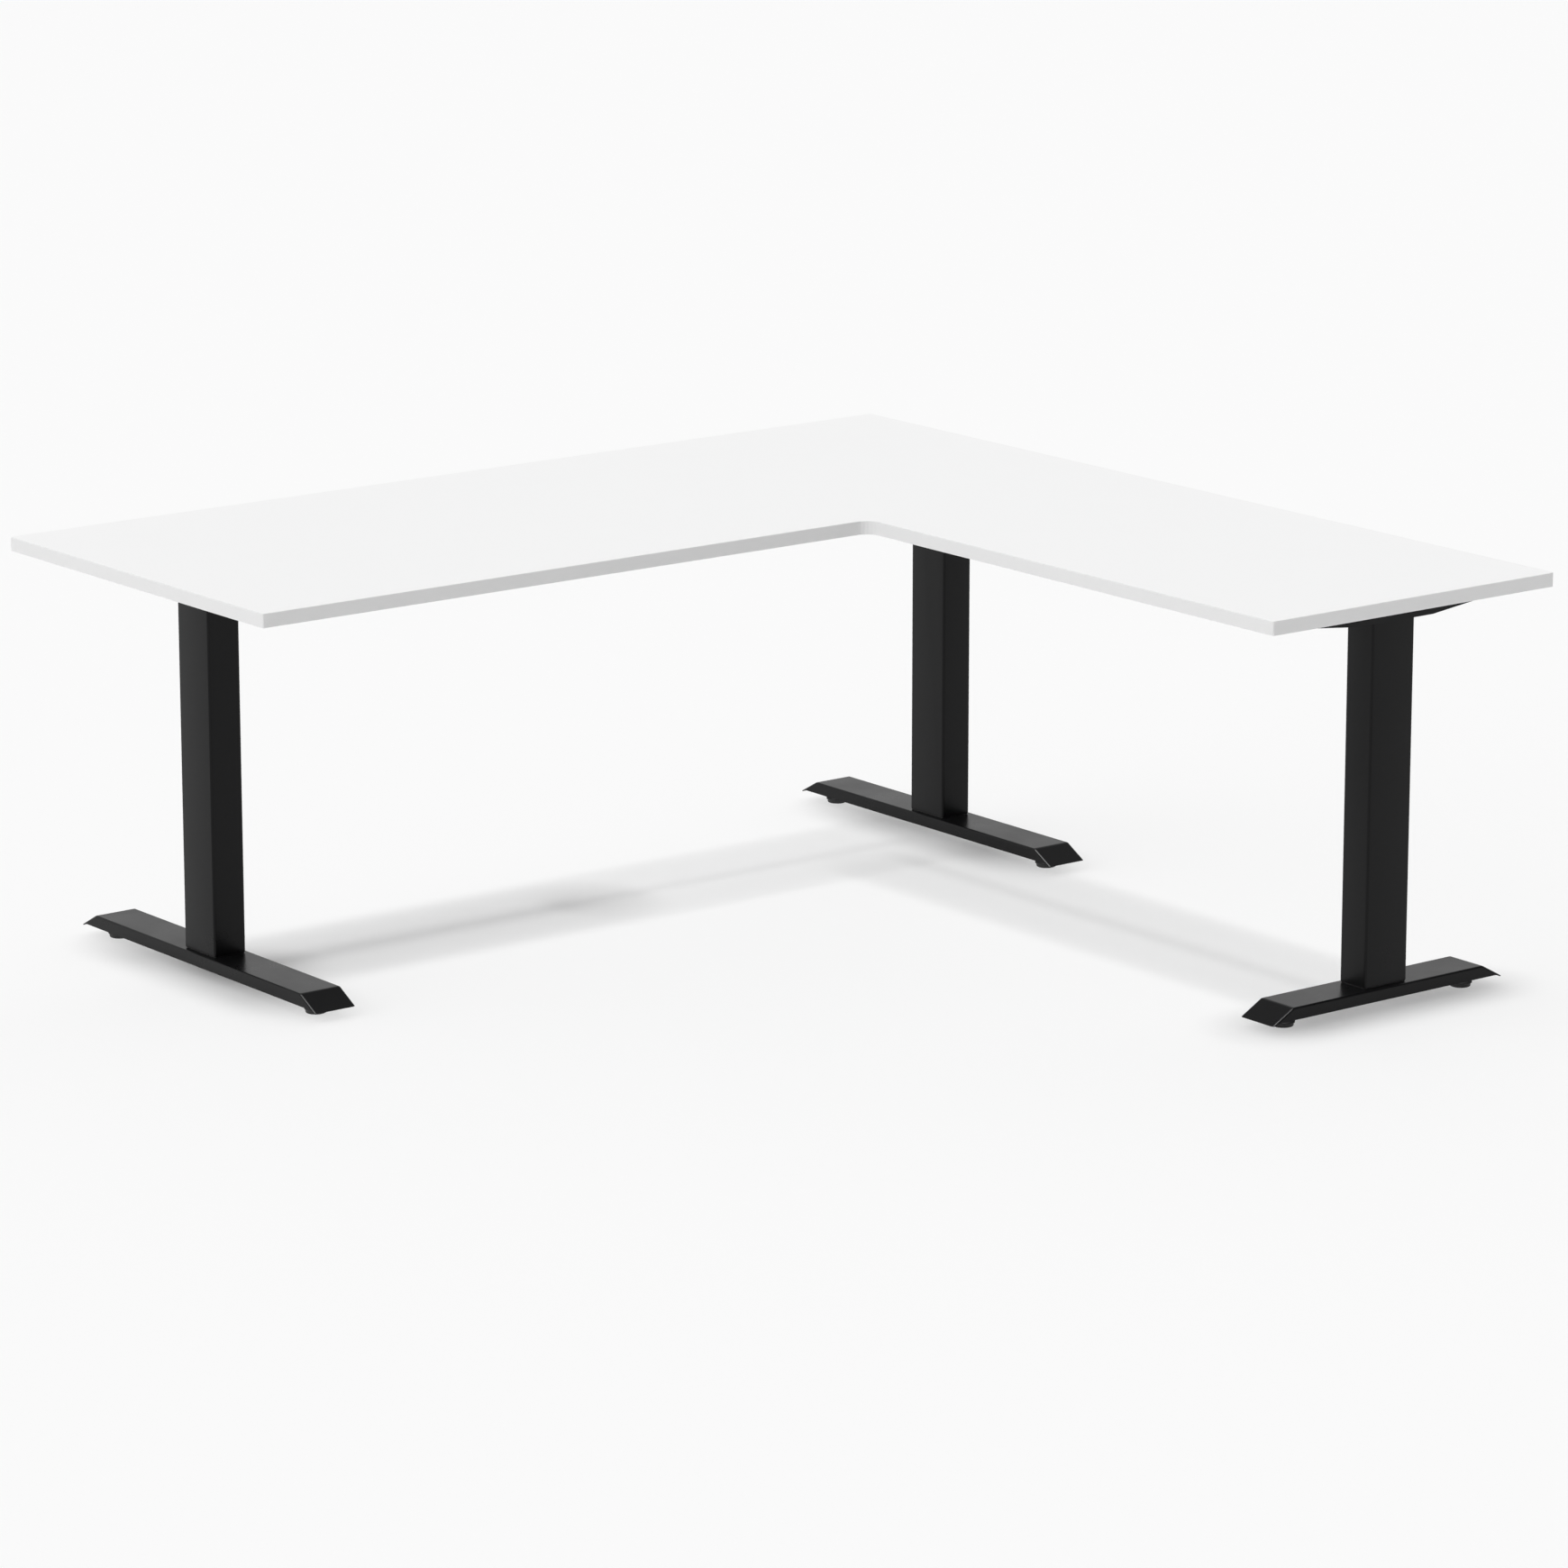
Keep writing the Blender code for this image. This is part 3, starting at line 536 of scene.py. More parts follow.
height = add_node(tube_tree, "ShaderNodeMath", {"operation": "SUBTRACT"}, {
    0: given["Top"], 1: given["Bottom"],
})
lift = add_node(tube_tree, "ShaderNodeCombineXYZ", {}, {"Z": height.outputs[0]})
wall = add_node(tube_tree, "GeometryNodeExtrudeMesh", {}, {
    "Mesh": ring_low.outputs["Geometry"], "Offset": lift.outputs[0], "Individual": False,
})
base = add_node(tube_tree, "GeometryNodeFlipFaces", {}, {"Mesh": ring_low.outputs["Geometry"]})
shell = tube_tree.nodes.new("GeometryNodeJoinGeometry")
for mesh in (wall.outputs["Mesh"], base.outputs["Mesh"]):
    tube_tree.links.new(mesh, shell.inputs[0])
sealed = add_node(tube_tree, "GeometryNodeMergeByDistance", {}, {
    "Geometry": shell.outputs[0], "Distance": 0.00001,
})
end_tree(tube_tree, given, sealed.outputs["Geometry"])
print(len(tube_tree.nodes), "nodes in the tube tree")

# %% [markdown]
# The outer tubes are the columns that are always seen, so they get the finer section, with the
# notch that lets the motor's neck out of the column's head. The middle tubes are seen when the
# desk is up.

# %% Outer and middle tubes
TUBE_WALL = 0.0015
TUBE_CORNER = 0.0040
NOTCH_HALF = 0.0185  # half the width of the motor notch
NOTCH_BOTTOM = 0.6275


def tube_mesh(node_name, leg):
    """The fine tube that stands for a solid one, in its leg's own directions."""
    low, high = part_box(node_name)
    size = LEG_PLACES[leg].to_3x3().inverted() @ (high - low)
    return grow(tube_tree, {
        "Width": abs(size.x), "Depth": abs(size.y), "Corner radius": TUBE_CORNER,
        "Corner steps": 8, "Wall": TUBE_WALL, "Bottom": low.z, "Top": high.z,
        "Finish": powder_coat,
    })


for leg in LEGS:
    outer = tube_mesh(f"outer_tube_{leg}", leg)
    notch_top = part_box(f"outer_tube_{leg}")[1].z + 0.005
    notch = cushioned(
        (0.010, 2 * NOTCH_HALF, notch_top - NOTCH_BOTTOM), 0.001,
        (0.030, 0, (notch_top + NOTCH_BOTTOM) / 2),
    )
    outer = carve(outer, mesh_of([notch]))
    outer.transform(LEG_PLACES[leg])
    column = settle(f"column_outer_{leg}", outer, powder_coat, "top")
    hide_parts(f"outer_tube_{leg}")
    middle = tube_mesh(f"middle_tube_{leg}", leg)
    middle.transform(LEG_PLACES[leg])
    column = settle(
        f"column_middle_{leg}", middle, powder_coat, f"middle_{leg}"
    )
    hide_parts(f"middle_tube_{leg}")
print("column of", len(outer.polygons), "faces")

# %% [markdown]
# ## Threads
# The glides' studs and the drive spindles are threaded. A thread is a ridge that winds round a
# core: a spiral curve with a small four-sided section swept along it. Drawn with the real
# pitch, an M8 stud turns once every 1.25 mm.

# %% Thread tree
thread_tree, given = new_tree("thread", {
    "Core radius": 0.0034, "Ridge": 0.0005, "Pitch": 0.00125, "Length": 0.018,
    "Steps in a turn": 20,
})
turns = add_node(thread_tree, "ShaderNodeMath", {"operation": "DIVIDE"}, {
    0: given["Length"], 1: given["Pitch"],
})
helix = add_node(thread_tree, "GeometryNodeCurveSpiral", {}, {
    "Resolution": given["Steps in a turn"], "Rotations": turns.outputs[0],
    "Start Radius": given["Core radius"], "End Radius": given["Core radius"],
    "Height": given["Length"],
})
ridge = add_node(thread_tree, "GeometryNodeCurvePrimitiveCircle", {}, {
    "Resolution": 4, "Radius": given["Ridge"],
})
swept = add_node(thread_tree, "GeometryNodeCurveToMesh", {}, {
    "Curve": helix.outputs["Curve"], "Profile Curve": ridge.outputs["Curve"], "Fill Caps": True,
})
end_tree(thread_tree, given, swept.outputs["Mesh"])


CORE_SIDES = 24
TURN_STEPS = 20


def thread_mesh(core, ridge_height, pitch, bottom, top, finish):
    """A threaded rod from bottom to top. The ridge stops its own height short of both ends."""
    spiral = grow(thread_tree, {
        "Core radius": core, "Ridge": ridge_height, "Pitch": pitch,
        "Length": top - bottom - 2 * ridge_height, "Steps in a turn": TURN_STEPS, "Finish": finish,
    })
    spiral.transform(Matrix.Translation((0, 0, bottom + ridge_height)))
    winding = bmesh.new()
    winding.from_mesh(spiral)
    bmesh.ops.recalc_face_normals(winding, faces=winding.faces)
    crest = core + ridge_height
    taper = min(ridge_height, 0.001)
    rod = spun((
        (crest - taper, bottom), (core, bottom + taper), (core, top - taper), (crest - taper, top),
    ), CORE_SIDES)
    return mesh_of([winding, rod])


print(len(thread_tree.nodes), "nodes in the thread tree")

# %% [markdown]
# ## Levelling glides
# Each foot stands on two glides: a black nylon pad moulded round the hexagon of a zinc plated
# stud, which screws up into a nut welded inside the foot. The pad is a turned shape with a
# slightly smaller sole, a bevelled belt with a wider lip above it, and a domed top.

# %% Glides
PAD_PROFILE = (  # radius and height in mm
    (14.6, 0.0), (15.5, 0.15), (16.4, 0.6), (16.9, 1.4), (17.3, 5.0), (17.6, 5.7), (18.5, 6.1),
    (19.1, 6.5), (19.2, 7.2), (19.2, 8.0), (18.9, 8.6), (18.2, 9.1), (17.0, 9.5), (12.0, 10.6),
    (8.9, 11.0),
)
PAD_SIDES = 72
HEXAGON = (0.0075, 0.0105, 0.0165)  # radius over corners, bottom, top
HEXAGON_EDGE = 0.0004
STUD_CORE = 0.0034
STUD_RIDGE = 0.0005
STUD_PITCH = 0.00125
STUD_SUNK = 0.001  # how far the stud starts inside its hexagon
STUD_TOP = 0.0360
glide_names = sorted(name for name in nodes if name.startswith("glide_"))
for name in glide_names:
    low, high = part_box(name)
    place = Matrix.Translation(((low.x + high.x) / 2, (low.y + high.y) / 2, low.z))
    pad = mesh_of([spun([(r / 1000, z / 1000) for r, z in PAD_PROFILE], PAD_SIDES)], place)
    glide = settle(f"{name}_pad", pad, nylon, name)
    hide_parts(name)
    radius, bottom, top = HEXAGON
    hexagon = prism(hexagon_outline(radius), bottom, top)
    bmesh.ops.bevel(
        hexagon, geom=hexagon.edges[:], offset=HEXAGON_EDGE, segments=2, profile=0.5,
        affect="EDGES",
    )
    thread = bmesh.new()
    thread.from_mesh(
        thread_mesh(STUD_CORE, STUD_RIDGE, STUD_PITCH, top - STUD_SUNK, STUD_TOP, zinc)
    )
    stud = mesh_of([hexagon, thread], place)
    settle(f"{name}_stud", stud, zinc, name)
print(len(glide_names), "glides")

# %% [markdown]
# ## Spindles
# A motor turns the drive screw, which turns the hollow screw round it; each works in a nylon
# nut, so the three stages open together. Both have a 5 mm trapezoidal thread.

# %% Spindles
SPINDLE_RIDGE = 0.0009
SPINDLE_PITCH = 0.005
HOLLOW_CREST = 0.0120
HOLLOW_BORE = 0.0090
HOLLOW_HEAD = 0.0170  # radius of the collar at the hollow screw's top
HEAD_DEPTH = 0.0100
HEAD_EDGE = 0.0008
BORE_SIDES = 32

for leg in LEGS:
    for kind in ("drive", "hollow"):
        node_name = f"{kind}_screw_{leg}"
        low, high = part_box(node_name)
        hollow = kind == "hollow"
        crest = HOLLOW_CREST if hollow else (high.x - low.x) / 2
        top = high.z - (HEAD_DEPTH if hollow else 0)
        core = crest - SPINDLE_RIDGE
        rod = thread_mesh(core, SPINDLE_RIDGE, SPINDLE_PITCH, low.z, top, zinc)
        if hollow:
            head = spun((
                (HOLLOW_HEAD - HEAD_EDGE, top), (HOLLOW_HEAD, top + HEAD_EDGE),
                (HOLLOW_HEAD, high.z - HEAD_EDGE), (HOLLOW_HEAD - HEAD_EDGE, high.z),
            ))
            rod = carve(rod, mesh_of([head]), "UNION")
            bore = spun(
                ((HOLLOW_BORE, low.z - 0.005), (HOLLOW_BORE, high.z + 0.005)), BORE_SIDES
            )
            rod = carve(rod, mesh_of([bore]))
        rod.transform(LEG_PLACES[leg])
        threaded = settle(f"{node_name}_threaded", rod, zinc, f"{kind}_{leg}")
        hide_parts(node_name)
print("spindles for", len(LEGS), "columns")

# %% [markdown]
# ## Gear motors
# In each column's head sits a worm gearbox, and its motor lies along the rails. The casting has
# a flanged neck; the motor's can is drawn steel with a rolled groove that holds its end cap, a
# bearing boss at the end, and a lead socket on its side. Everything round is spun about the
# motor's own axis.

# %% Gear motors
MOTOR_AXIS = 0.632
CAN_PROFILE = (  # radius and distance from the leg's axis, in mm
    (20.0, 88.0), (23.6, 88.6), (24.0, 89.4), (24.0, 92.6), (23.4, 93.2), (23.4, 180.0),
    (22.6, 181.0), (22.6, 183.0), (23.4, 184.0), (23.4, 191.0), (22.2, 193.6), (19.0, 195.0),
    (12.0, 195.0), (11.4, 195.6), (11.0, 201.4), (10.4, 202.0),
)
CASTINGS = (  # size, edge radius and centre of each block of the gearbox, from the leg's axis
    ((0.050, 0.060, 0.0495), 0.003, (0, 0, 0.63125)),  # gearbox
    ((0.004, 0.046, 0.030), 0.0012, (-0.0245, 0, 0.632)),  # cover
    ((0.070, 0.035, 0.0265), 0.003, (0.055, 0, 0.64175)),  # neck
    ((0.052, 0.0025, 0.020), 0.0008, (0.062, -0.0185, 0.6395)),  # neck ribs
    ((0.052, 0.0025, 0.020), 0.0008, (0.062, 0.0185, 0.6395)),
)
LEAD_SOCKET = ((0.014, 0.010, 0.008), 0.0008, (0.184, 0, MOTOR_AXIS - 0.0265))
CAN_SIDES = 64
lying = Matrix.Translation((0, 0, MOTOR_AXIS)) @ Matrix.Rotation(math.pi / 2, 4, "Y")
for leg in LEGS:
    can = spun([(r / 1000, x / 1000) for r, x in CAN_PROFILE], CAN_SIDES)
    bmesh.ops.transform(can, matrix=lying, verts=can.verts)
    blocks = [cushioned(*block) for block in CASTINGS]
    motor = mesh_of([*blocks, can, cushioned(*LEAD_SOCKET)], LEG_PLACES[leg])
    piece = settle(f"motor_{leg}", motor, motor_paint, "top")
    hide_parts(f"gear_motor_{leg}")
print("motor of", len(motor.polygons), "faces")

# %% [markdown]
# ## Fasteners
# Pan head wood screws hold the brackets and trays to the board, button head bolts clamp the
# rails in their trays and the feet to the columns, and hexagon bolts join the corner. Each head
# is modelled once, with its recess cut in. A tree then sets a copy on every point of a pattern.
# The point's own facing turns the head outwards, and a seeded random turn about its axis leaves
# the slots at all angles, as hands do.

# %% Fastener tree
fastener_tree, given = new_tree("fasteners", {"Head": None, "Seed": 1})
head = add_node(fastener_tree, "GeometryNodeObjectInfo", {}, {"Object": given["Head"]})
facing = add_node(
    fastener_tree, "GeometryNodeInputNamedAttribute", {"data_type": "FLOAT_VECTOR"},
    {"Name": "facing"},
)
aimed = add_node(fastener_tree, "FunctionNodeAlignRotationToVector", {"axis": "Z"}, {
    "Vector": facing.outputs["Attribute"],
})
hand = add_node(fastener_tree, "FunctionNodeRandomValue", {"data_type": "FLOAT"}, {
    3: 2 * math.pi, "Seed": given["Seed"],
})
about_axis = add_node(fastener_tree, "ShaderNodeCombineXYZ", {}, {"Z": hand.outputs[1]})
turn = add_node(fastener_tree, "FunctionNodeEulerToRotation", {}, {"Euler": about_axis.outputs[0]})
turned = add_node(fastener_tree, "FunctionNodeRotateRotation", {"rotation_space": "LOCAL"}, {
    "Rotation": aimed.outputs[0], "Rotate By": turn.outputs[0],
})
copies = add_node(fastener_tree, "GeometryNodeInstanceOnPoints", {}, {
    "Points": given["Geometry"], "Instance": head.outputs["Geometry"],
    "Rotation": turned.outputs[0],
})
end_tree(fastener_tree, given, copies.outputs["Instances"])


def fasten(name, head_mesh, spots, finish, body, seed):
    """Copies of a head at (place, facing) spots, as one piece that moves with a body."""
    pattern = bpy.data.meshes.new("pattern")
    pattern.from_pydata([place for place, _ in spots], [], [])
    facings = pattern.attributes.new("facing", "FLOAT_VECTOR", "POINT")
    facings.data.foreach_set("vector", [v for _, facing in spots for v in facing])
    model = bpy.data.objects.new("head", head_mesh)
    scene.collection.objects.link(model)
    mesh = grow(fastener_tree, {"Head": model, "Seed": seed, "Finish": finish}, pattern)
    bpy.data.objects.remove(model, do_unlink=True)
    return settle(name, mesh, finish, body)


print("fasteners are set by fasten()")

# %% [markdown]
# The three heads, with Z pointing out of the surface. The pan head has a cross recess, and the
# button head a hexagon socket. The hexagon bolt sits on a plain washer.

# %% Heads
HEAD_SIDES = 28
PAN_PROFILE = (  # radius and height, in metres
    (0.0043, 0), (0.0045, 0.0003), (0.0044, 0.0011), (0.0038, 0.0019), (0.0028, 0.0024),
    (0.0012, 0.0026),
)
CROSS_ARMS = ((0.0046, 0.0009, 0.0024), (0.0009, 0.0046, 0.0024))
CROSS_HEIGHT = 0.0026  # middle of the cross, so that it cuts 1.2 mm deep
BUTTON_PROFILE = (
    (0.0053, 0), (0.0055, 0.0003), (0.0052, 0.0013), (0.0043, 0.0024), (0.0031, 0.0031),
    (0.0028, 0.0032),
)
KEY_HEXAGON = (0.0023, 0.0012, 0.0040)  # radius over corners, bottom, top
WASHER_PROFILE = ((0.0084, 0), (0.0086, 0.0002), (0.0086, 0.0014), (0.0084, 0.0016))
BOLT_HEXAGON = (0.0075, 0.0015, 0.0068)

pan_head = mesh_of([spun(PAN_PROFILE, HEAD_SIDES)])
for arm in CROSS_ARMS:
    pan_head = carve(pan_head, mesh_of([cushioned(arm, 0.0002, (0, 0, CROSS_HEIGHT), 1)]))
button = mesh_of([spun(BUTTON_PROFILE, HEAD_SIDES)])
radius, bottom, top = KEY_HEXAGON
button_head = carve(button, mesh_of([prism(hexagon_outline(radius), bottom, top)]))
washer = spun(WASHER_PROFILE, HEAD_SIDES)
radius, bottom, top = BOLT_HEXAGON
bolt_top = prism(hexagon_outline(radius), bottom, top)
bmesh.ops.bevel(bolt_top, geom=bolt_top.edges[:], offset=0.0005, segments=2, affect="EDGES")
bolt_head = mesh_of([washer, bolt_top])
print([len(head.polygons) for head in (pan_head, button_head, bolt_head)], "faces in the heads")

# %% [markdown]
# Now the patterns. Spots under the top lie on the underside of the bracket and tray plates;
# the rail bolts are on the trays' outer flanges; the foot bolts are inside the foot, looking
# down. All are in the leg's own directions, and each leg's matrix turns them. One list for three
# legs has a cost. Two screws of the left leg fall over its tray's window and hang 2.8 mm under
# the board, and two rail bolts of the corner leg are buried in the joint's plate.

# %% Set the fasteners
PLATE_UNDER = 0.6567  # underside of the plates that lie against the board
BRACKET_SCREWS = [(0, y) for y in (-0.215, -0.130, 0.130, 0.215)]
TRAY_SCREWS = [(x, y) for x in (0.052, 0.120) for y in (-0.0345, 0.0345)]
RAIL_BOLTS = [(x, side) for x in (0.088, 0.120) for side in (-1, 1)]
LONG_TRAY_BOLTS = [(x, side) for x in (0.300, 0.520, 0.760) for side in (-1, 1)]
TRAY_FACE = 0.0860
RAIL_BOLT_HEIGHT = 0.6385
FOOT_UNDER = 0.0370
FOOT_BOLTS = [(x, y) for x in (-0.014, 0.014) for y in (-0.026, 0.026)]
JOINT_PLATE = 0.0025  # thickness of the joint's end plate
JOINT_BOLTS = (-0.030, 0.030)  # either side of the joint's middle
DOWN = Vector((0, 0, -1))

screws, rail_bolts, foot_bolts = [], [], []
for leg, place in LEG_PLACES.items():
    turn = place.to_3x3()
    for x, y in BRACKET_SCREWS + TRAY_SCREWS:
        screws.append((place @ Vector((x, y, PLATE_UNDER)), DOWN))
    for x, side in RAIL_BOLTS + (LONG_TRAY_BOLTS if leg == "left" else []):
        spot = place @ Vector((x, side * TRAY_FACE, RAIL_BOLT_HEIGHT))
        rail_bolts.append((spot, turn @ Vector((0, side, 0))))
    for x, y in FOOT_BOLTS:
        foot_bolts.append((place @ Vector((x, y, FOOT_UNDER)), DOWN))
fasten("board_screws", pan_head, screws, zinc, "top", seed=3)
fasten("rail_bolts", button_head, rail_bolts, black_oxide, "top", seed=5)
fasten("foot_bolts", button_head, foot_bolts, black_oxide, "base", seed=7)
joint_low, joint_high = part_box("rail_joint")
joint_middle = (joint_low.x + joint_high.x) / 2
joint_spots = [
    (Vector((joint_middle + x, joint_high.y - JOINT_PLATE, RAIL_BOLT_HEIGHT)), Vector((0, -1, 0)))
    for x in JOINT_BOLTS
]
fasten("corner_bolts", bolt_head, joint_spots, black_oxide, "top", seed=9)
print(len(screws), "screws,", len(rail_bolts) + len(foot_bolts) + len(joint_spots), "bolts")

# %% [markdown]
# ## Control box
# The control box has three motor sockets at one end and the mains inlet at the other. Brass
# contacts stand inside each opening, and shallow ribs run along the underside of the case, as
# moulders add to keep a wide wall flat. The contacts are short blocks set out on each socket's
# pitch, and they stop short of the opening.

# %% Control box fittings
SOCKET_PITCH = 0.024
PIN_ACROSS = (-0.0045, -0.0015, 0.0015, 0.0045)
PIN_ROWS = (-0.0018, 0.0018)
PIN_SIZE = (0.0078, 0.0007, 0.0007)
PIN_SETBACK = 0.0085  # middle of a pin, behind the end of the box
BLADES = ((-0.006, 0.002), (0.006, 0.002), (0.0, -0.004))
BLADE_SIZE = (0.0100, 0.0022, 0.0042)
BLADE_SETBACK = 0.0075
RIB_SIZE = (0.120, 0.0016, 0.0016)
RIB_PLACES_MM = range(-24, 25, 8)

box_low, box_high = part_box("control_box")
box_middle = (box_low + box_high) / 2
pins = []
for socket_y in (-SOCKET_PITCH, 0, SOCKET_PITCH):
    for pin_y in PIN_ACROSS:
        for pin_z in PIN_ROWS:
            pin_place = (
                box_high.x - PIN_SETBACK, box_middle.y + socket_y + pin_y, box_middle.z + pin_z
            )
            pins.append(cushioned(PIN_SIZE, 0.0001, pin_place, 1))
for blade_y, blade_z in BLADES:
    blade_place = (box_low.x + BLADE_SETBACK, box_middle.y + blade_y, box_middle.z + blade_z)
    pins.append(cushioned(BLADE_SIZE, 0.0004, blade_place, 2))
settle("control_box_contacts", mesh_of(pins), brass, "top")
ribs = []
for rib_mm in RIB_PLACES_MM:
    rib_place = (box_middle.x, box_middle.y + rib_mm / 1000, box_low.z)
    ribs.append(cushioned(RIB_SIZE, 0.0005, rib_place, 2))
settle("control_box_ribs", mesh_of(ribs), case_plastic, "top")
print(len(pins), "contacts")

# %% [markdown]
# ## Handset
# The handset is screwed up under the front edge by a lug behind it. Its keys carry plain
# printed marks: 1, 2 and 3 for stored heights, and arrows for up and down. The digits come from
# a text object, and the arrows are small prisms; both are raised by the thickness of the ink.

# %% Handset lug, screws and key marks
LUG_SIZE = (0.070, 0.014, 0.0024)
LUG_BACK = 0.006  # middle of the lug, behind the case
LUG_SCREWS_BACK = 0.0075
LUG_SCREWS = (-0.024, 0.024)

case_low, case_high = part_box("handset_case")
case_middle = (case_low + case_high) / 2
lug_thick = LUG_SIZE[2]
lug_place = (case_middle.x, case_high.y + LUG_BACK, case_high.z - lug_thick / 2)
lug = cushioned(LUG_SIZE, 0.0008, lug_place)
settle("handset_lug", mesh_of([lug]), case_plastic, "top")
lug_spots = [
    (Vector((case_middle.x + x, case_high.y + LUG_SCREWS_BACK, case_high.z - lug_thick)), DOWN)
    for x in LUG_SCREWS
]
fasten("handset_screws", pan_head, lug_spots, zinc, "top", seed=11)

INK = 0.00006
MARK_HEIGHT = 0.0042
upright = Matrix.Rotation(math.pi / 2, 4, "X")
KEY_MARKS = {  # a digit, or the way that an arrow points
    "memory_key_1": "1", "memory_key_2": "2", "memory_key_3": "3", "up_key": 1, "down_key": -1,
}
for name, mark in KEY_MARKS.items():
    low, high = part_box(name)
    place = Matrix.Translation(((low.x + high.x) / 2, low.y, (low.z + high.z) / 2)) @ upright
    if isinstance(mark, str):
        text = bpy.data.curves.new("digit", "FONT")
        text.body, text.size, text.extrude = mark, MARK_HEIGHT * 1.35, INK
        text.align_x, text.align_y = "CENTER", "CENTER"
        digit = bpy.data.objects.new("digit", text)
        scene.collection.objects.link(digit)
        marked = applied(digit)
        marked.transform(place)
    else:
        half = MARK_HEIGHT / 2
        arrow = [(-half, -mark * half * 0.8), (half, -mark * half * 0.8), (0, mark * half)]
        marked = mesh_of([prism(arrow, -INK, INK)], place)
    settle(f"{name}_mark", marked, print_ink, name)
print("five key marks")

# %% [markdown]
# ## Floor and light
# The desk stands in a white studio on a matt floor, which is a stage and not a part of the desk.
# A sun lamp with a wide disc stands for the lamp above, because its light is the same over the
# whole floor. The walls are the world's colour, which changes smoothly with direction: bright
# behind and to the left, dark in front, and fading towards the ceiling. A strip light from the
# front left reaches only the edge band, and lifts its inner fillet. Nodes do all this, with no
# image. The rails, the long tray and the brackets are all that the lamp's shadow shows, so light
# linking makes them its only blockers, and the worktop and the small parts under it are left
# out of the soft shadows too.

# %% Floor, lamp and walls
FLOOR_HALF = 120.0
FLOOR_WHITE = 0.955
LAMP_STRENGTH = 2.15
LAMP_DISC = 17.0  # degrees across
WALL_GLOW = 1.05
LEFT_WALL_EXTRA = 0.35  # straight to the left
FRONT_WALL_LOSS = 3.5  # straight in front of the desk
CEILING_GLOW = 0.10
STRIP_STRENGTH = 0.60  # strip light from the front left, on the edge band only
STRIP_FROM = Vector((-0.80, -0.60, 0.15))
LAMP_BLOCKERS = ("main_rail", "side_rail", "rail_tray_left", "side_bracket")
SHADOWLESS = (  # pieces that leave no mark on the floor
    "desktop", "edge_band", "control_box", "handset", "memory_key", "up_key", "down_key",
    "gear_motor", "motor_", "rail_tray_corner", "rail_tray_right", "rail_joint",
    "board_screws", "rail_bolts", "corner_bolts",
)

floor_mesh = bpy.data.meshes.new("studio_floor")
square = [(-1, -1), (1, -1), (1, 1), (-1, 1)]
floor_corners = [(x * FLOOR_HALF, y * FLOOR_HALF, 0) for x, y in square]
floor_mesh.from_pydata(floor_corners, [], [(0, 1, 2, 3)])
floor = bpy.data.objects.new("studio_floor", floor_mesh)
scene.collection.objects.link(floor)
floor_paint, tree, shader = start_finish(
    "matt studio floor", "#FFFFFF", {"Specular IOR Level": 0.0}
)
shader.inputs["Base Color"].default_value = (FLOOR_WHITE, FLOOR_WHITE, FLOOR_WHITE, 1)
shader.inputs["Roughness"].default_value = 1.0
floor_mesh.materials.append(floor_paint)

lamp = bpy.data.objects.new("overhead_lamp", bpy.data.lights.new("overhead_lamp", "SUN"))
lamp.data.energy = LAMP_STRENGTH
lamp.data.angle = math.radians(LAMP_DISC)
lamp.location = (0, 0, 3)
scene.collection.objects.link(lamp)

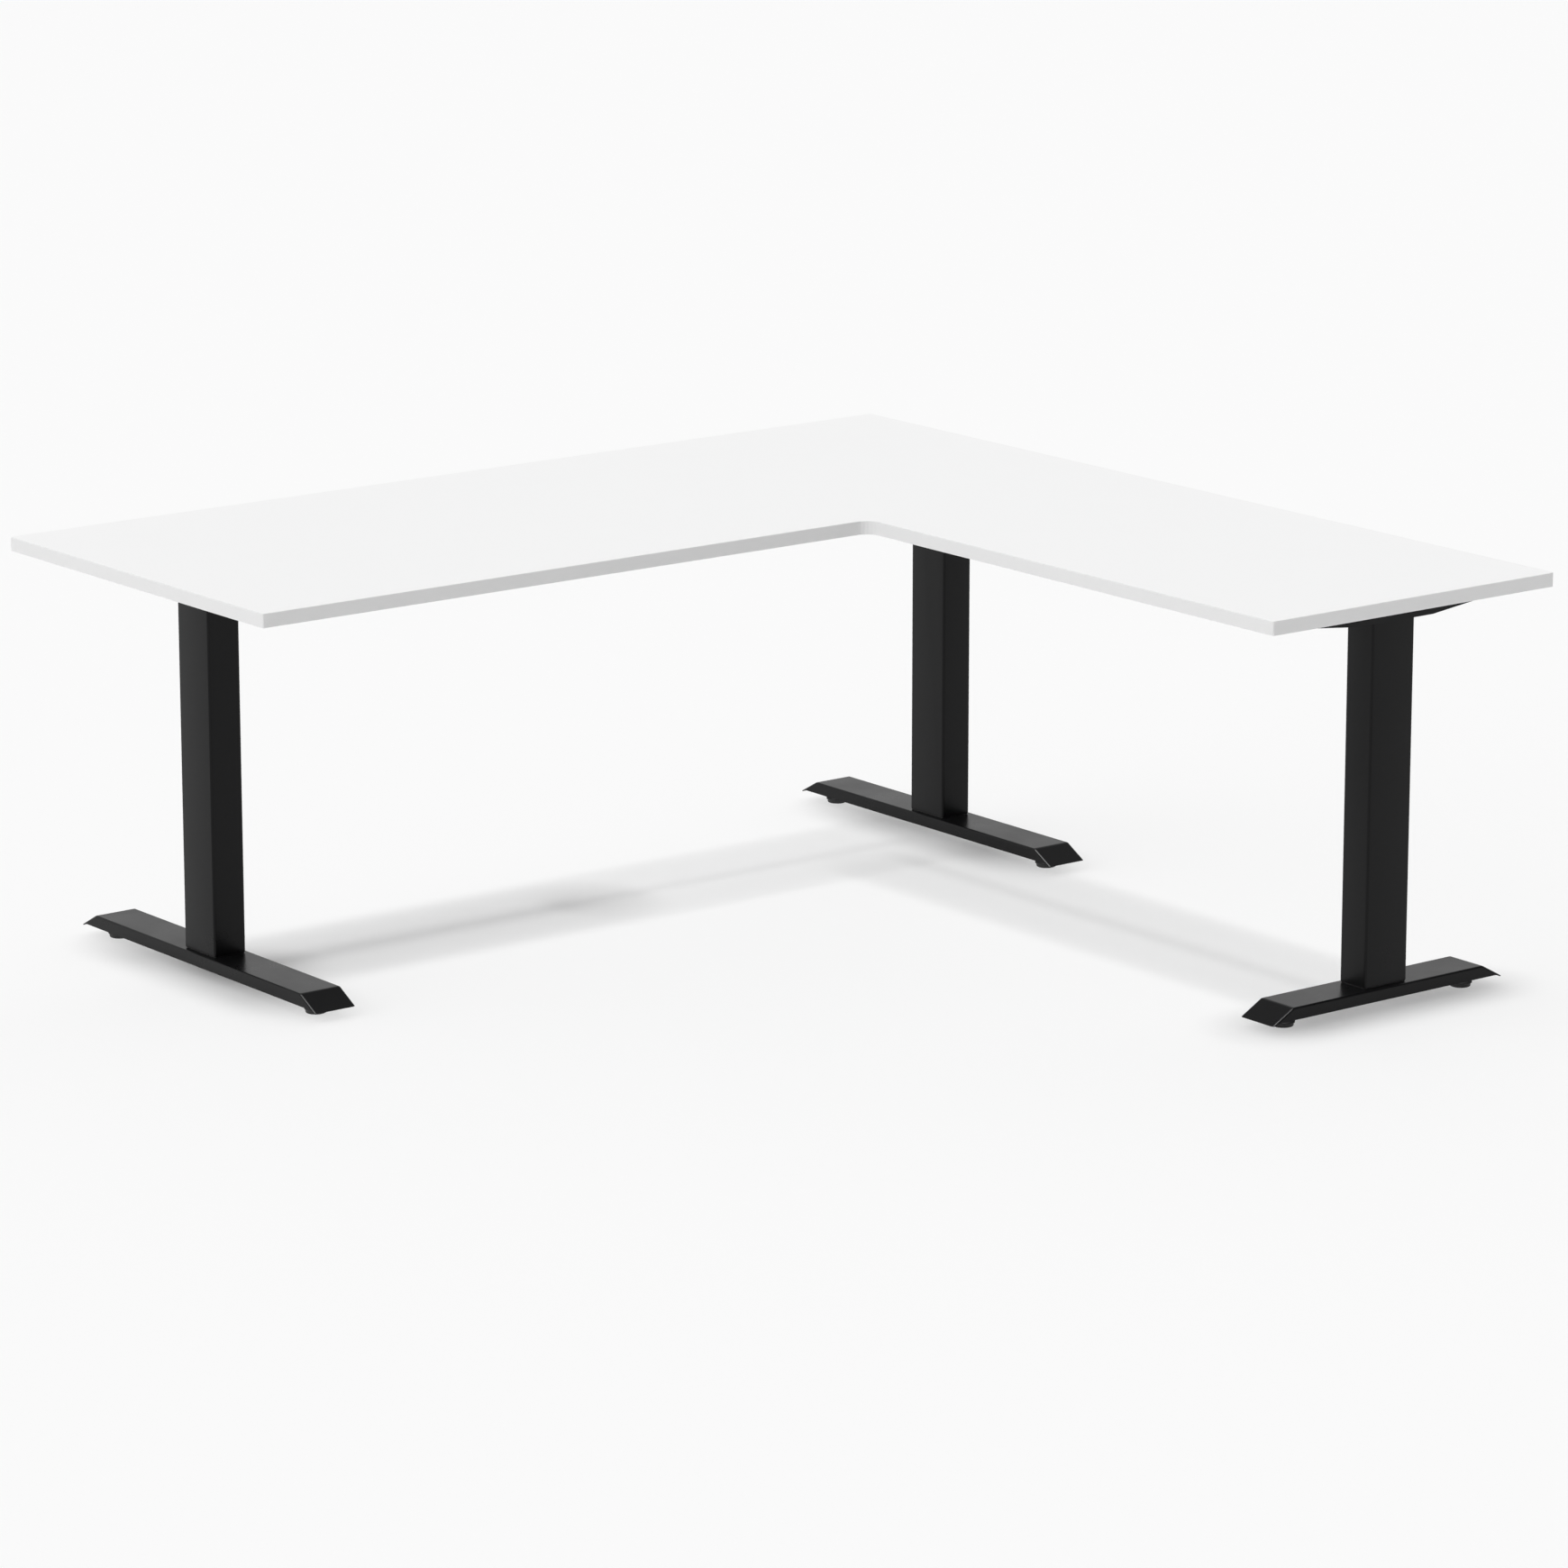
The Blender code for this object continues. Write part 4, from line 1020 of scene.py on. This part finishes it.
strip = bpy.data.objects.new("strip_light", bpy.data.lights.new("strip_light", "SUN"))
strip.data.energy = STRIP_STRENGTH
strip.data.angle = math.radians(LAMP_DISC)
strip.data.use_shadow = False
strip.rotation_euler = STRIP_FROM.to_track_quat("Z", "Y").to_euler()
scene.collection.objects.link(strip)
lit_by_strip = bpy.data.collections.new("lit_by_strip")
strip.light_linking.receiver_collection = lit_by_strip
lit_by_strip.objects.link(nodes["edge_band"])

world = bpy.data.worlds.new("studio_walls")
scene.world = world
world.use_nodes = True
tree = world.node_tree
direction = add_node(tree, "ShaderNodeTexCoord").outputs["Generated"]
split = add_node(tree, "ShaderNodeSeparateXYZ", {}, {"Vector": direction})
leftward = add_node(tree, "ShaderNodeMath", {"operation": "MINIMUM"}, {
    0: split.outputs["X"], 1: 0.0,
})
forward = add_node(tree, "ShaderNodeMath", {"operation": "MINIMUM"}, {
    0: split.outputs["Y"], 1: 0.0,
})
left_lit = add_node(tree, "ShaderNodeMath", {"operation": "MULTIPLY_ADD"}, {
    0: leftward.outputs[0], 1: -LEFT_WALL_EXTRA, 2: WALL_GLOW,
})
both_sides = add_node(tree, "ShaderNodeMath", {"operation": "MULTIPLY_ADD"}, {
    0: forward.outputs[0], 1: FRONT_WALL_LOSS, 2: left_lit.outputs[0],
})
wall = add_node(tree, "ShaderNodeMath", {"operation": "MAXIMUM"}, {
    0: both_sides.outputs[0], 1: 0.0,
})
below_ceiling = add_node(tree, "ShaderNodeMath", {"operation": "SUBTRACT", "use_clamp": True}, {
    0: 1.0, 1: split.outputs["Z"],
})
glow = add_node(tree, "ShaderNodeMath", {"operation": "MULTIPLY_ADD"}, {
    0: wall.outputs[0], 1: below_ceiling.outputs[0], 2: CEILING_GLOW,
})
tree.links.new(glow.outputs[0], tree.nodes["Background"].inputs["Strength"])
tree.nodes["Background"].inputs["Color"].default_value = (1, 1, 1, 1)
scene.view_settings.view_transform = "Standard"
for piece in scene.objects:
    if piece.name.startswith(SHADOWLESS):
        piece.visible_shadow = False
        piece.visible_diffuse = False
for name in ("desktop", "edge_band"):
    nodes[name].visible_glossy = False
lamp_blockers = bpy.data.collections.new("lamp_blockers")
lamp.light_linking.blocker_collection = lamp_blockers
for name in nodes.keys():
    if name.startswith(LAMP_BLOCKERS):
        lamp_blockers.objects.link(nodes[name])
print("walls", WALL_GLOW, "lamp", LAMP_STRENGTH)
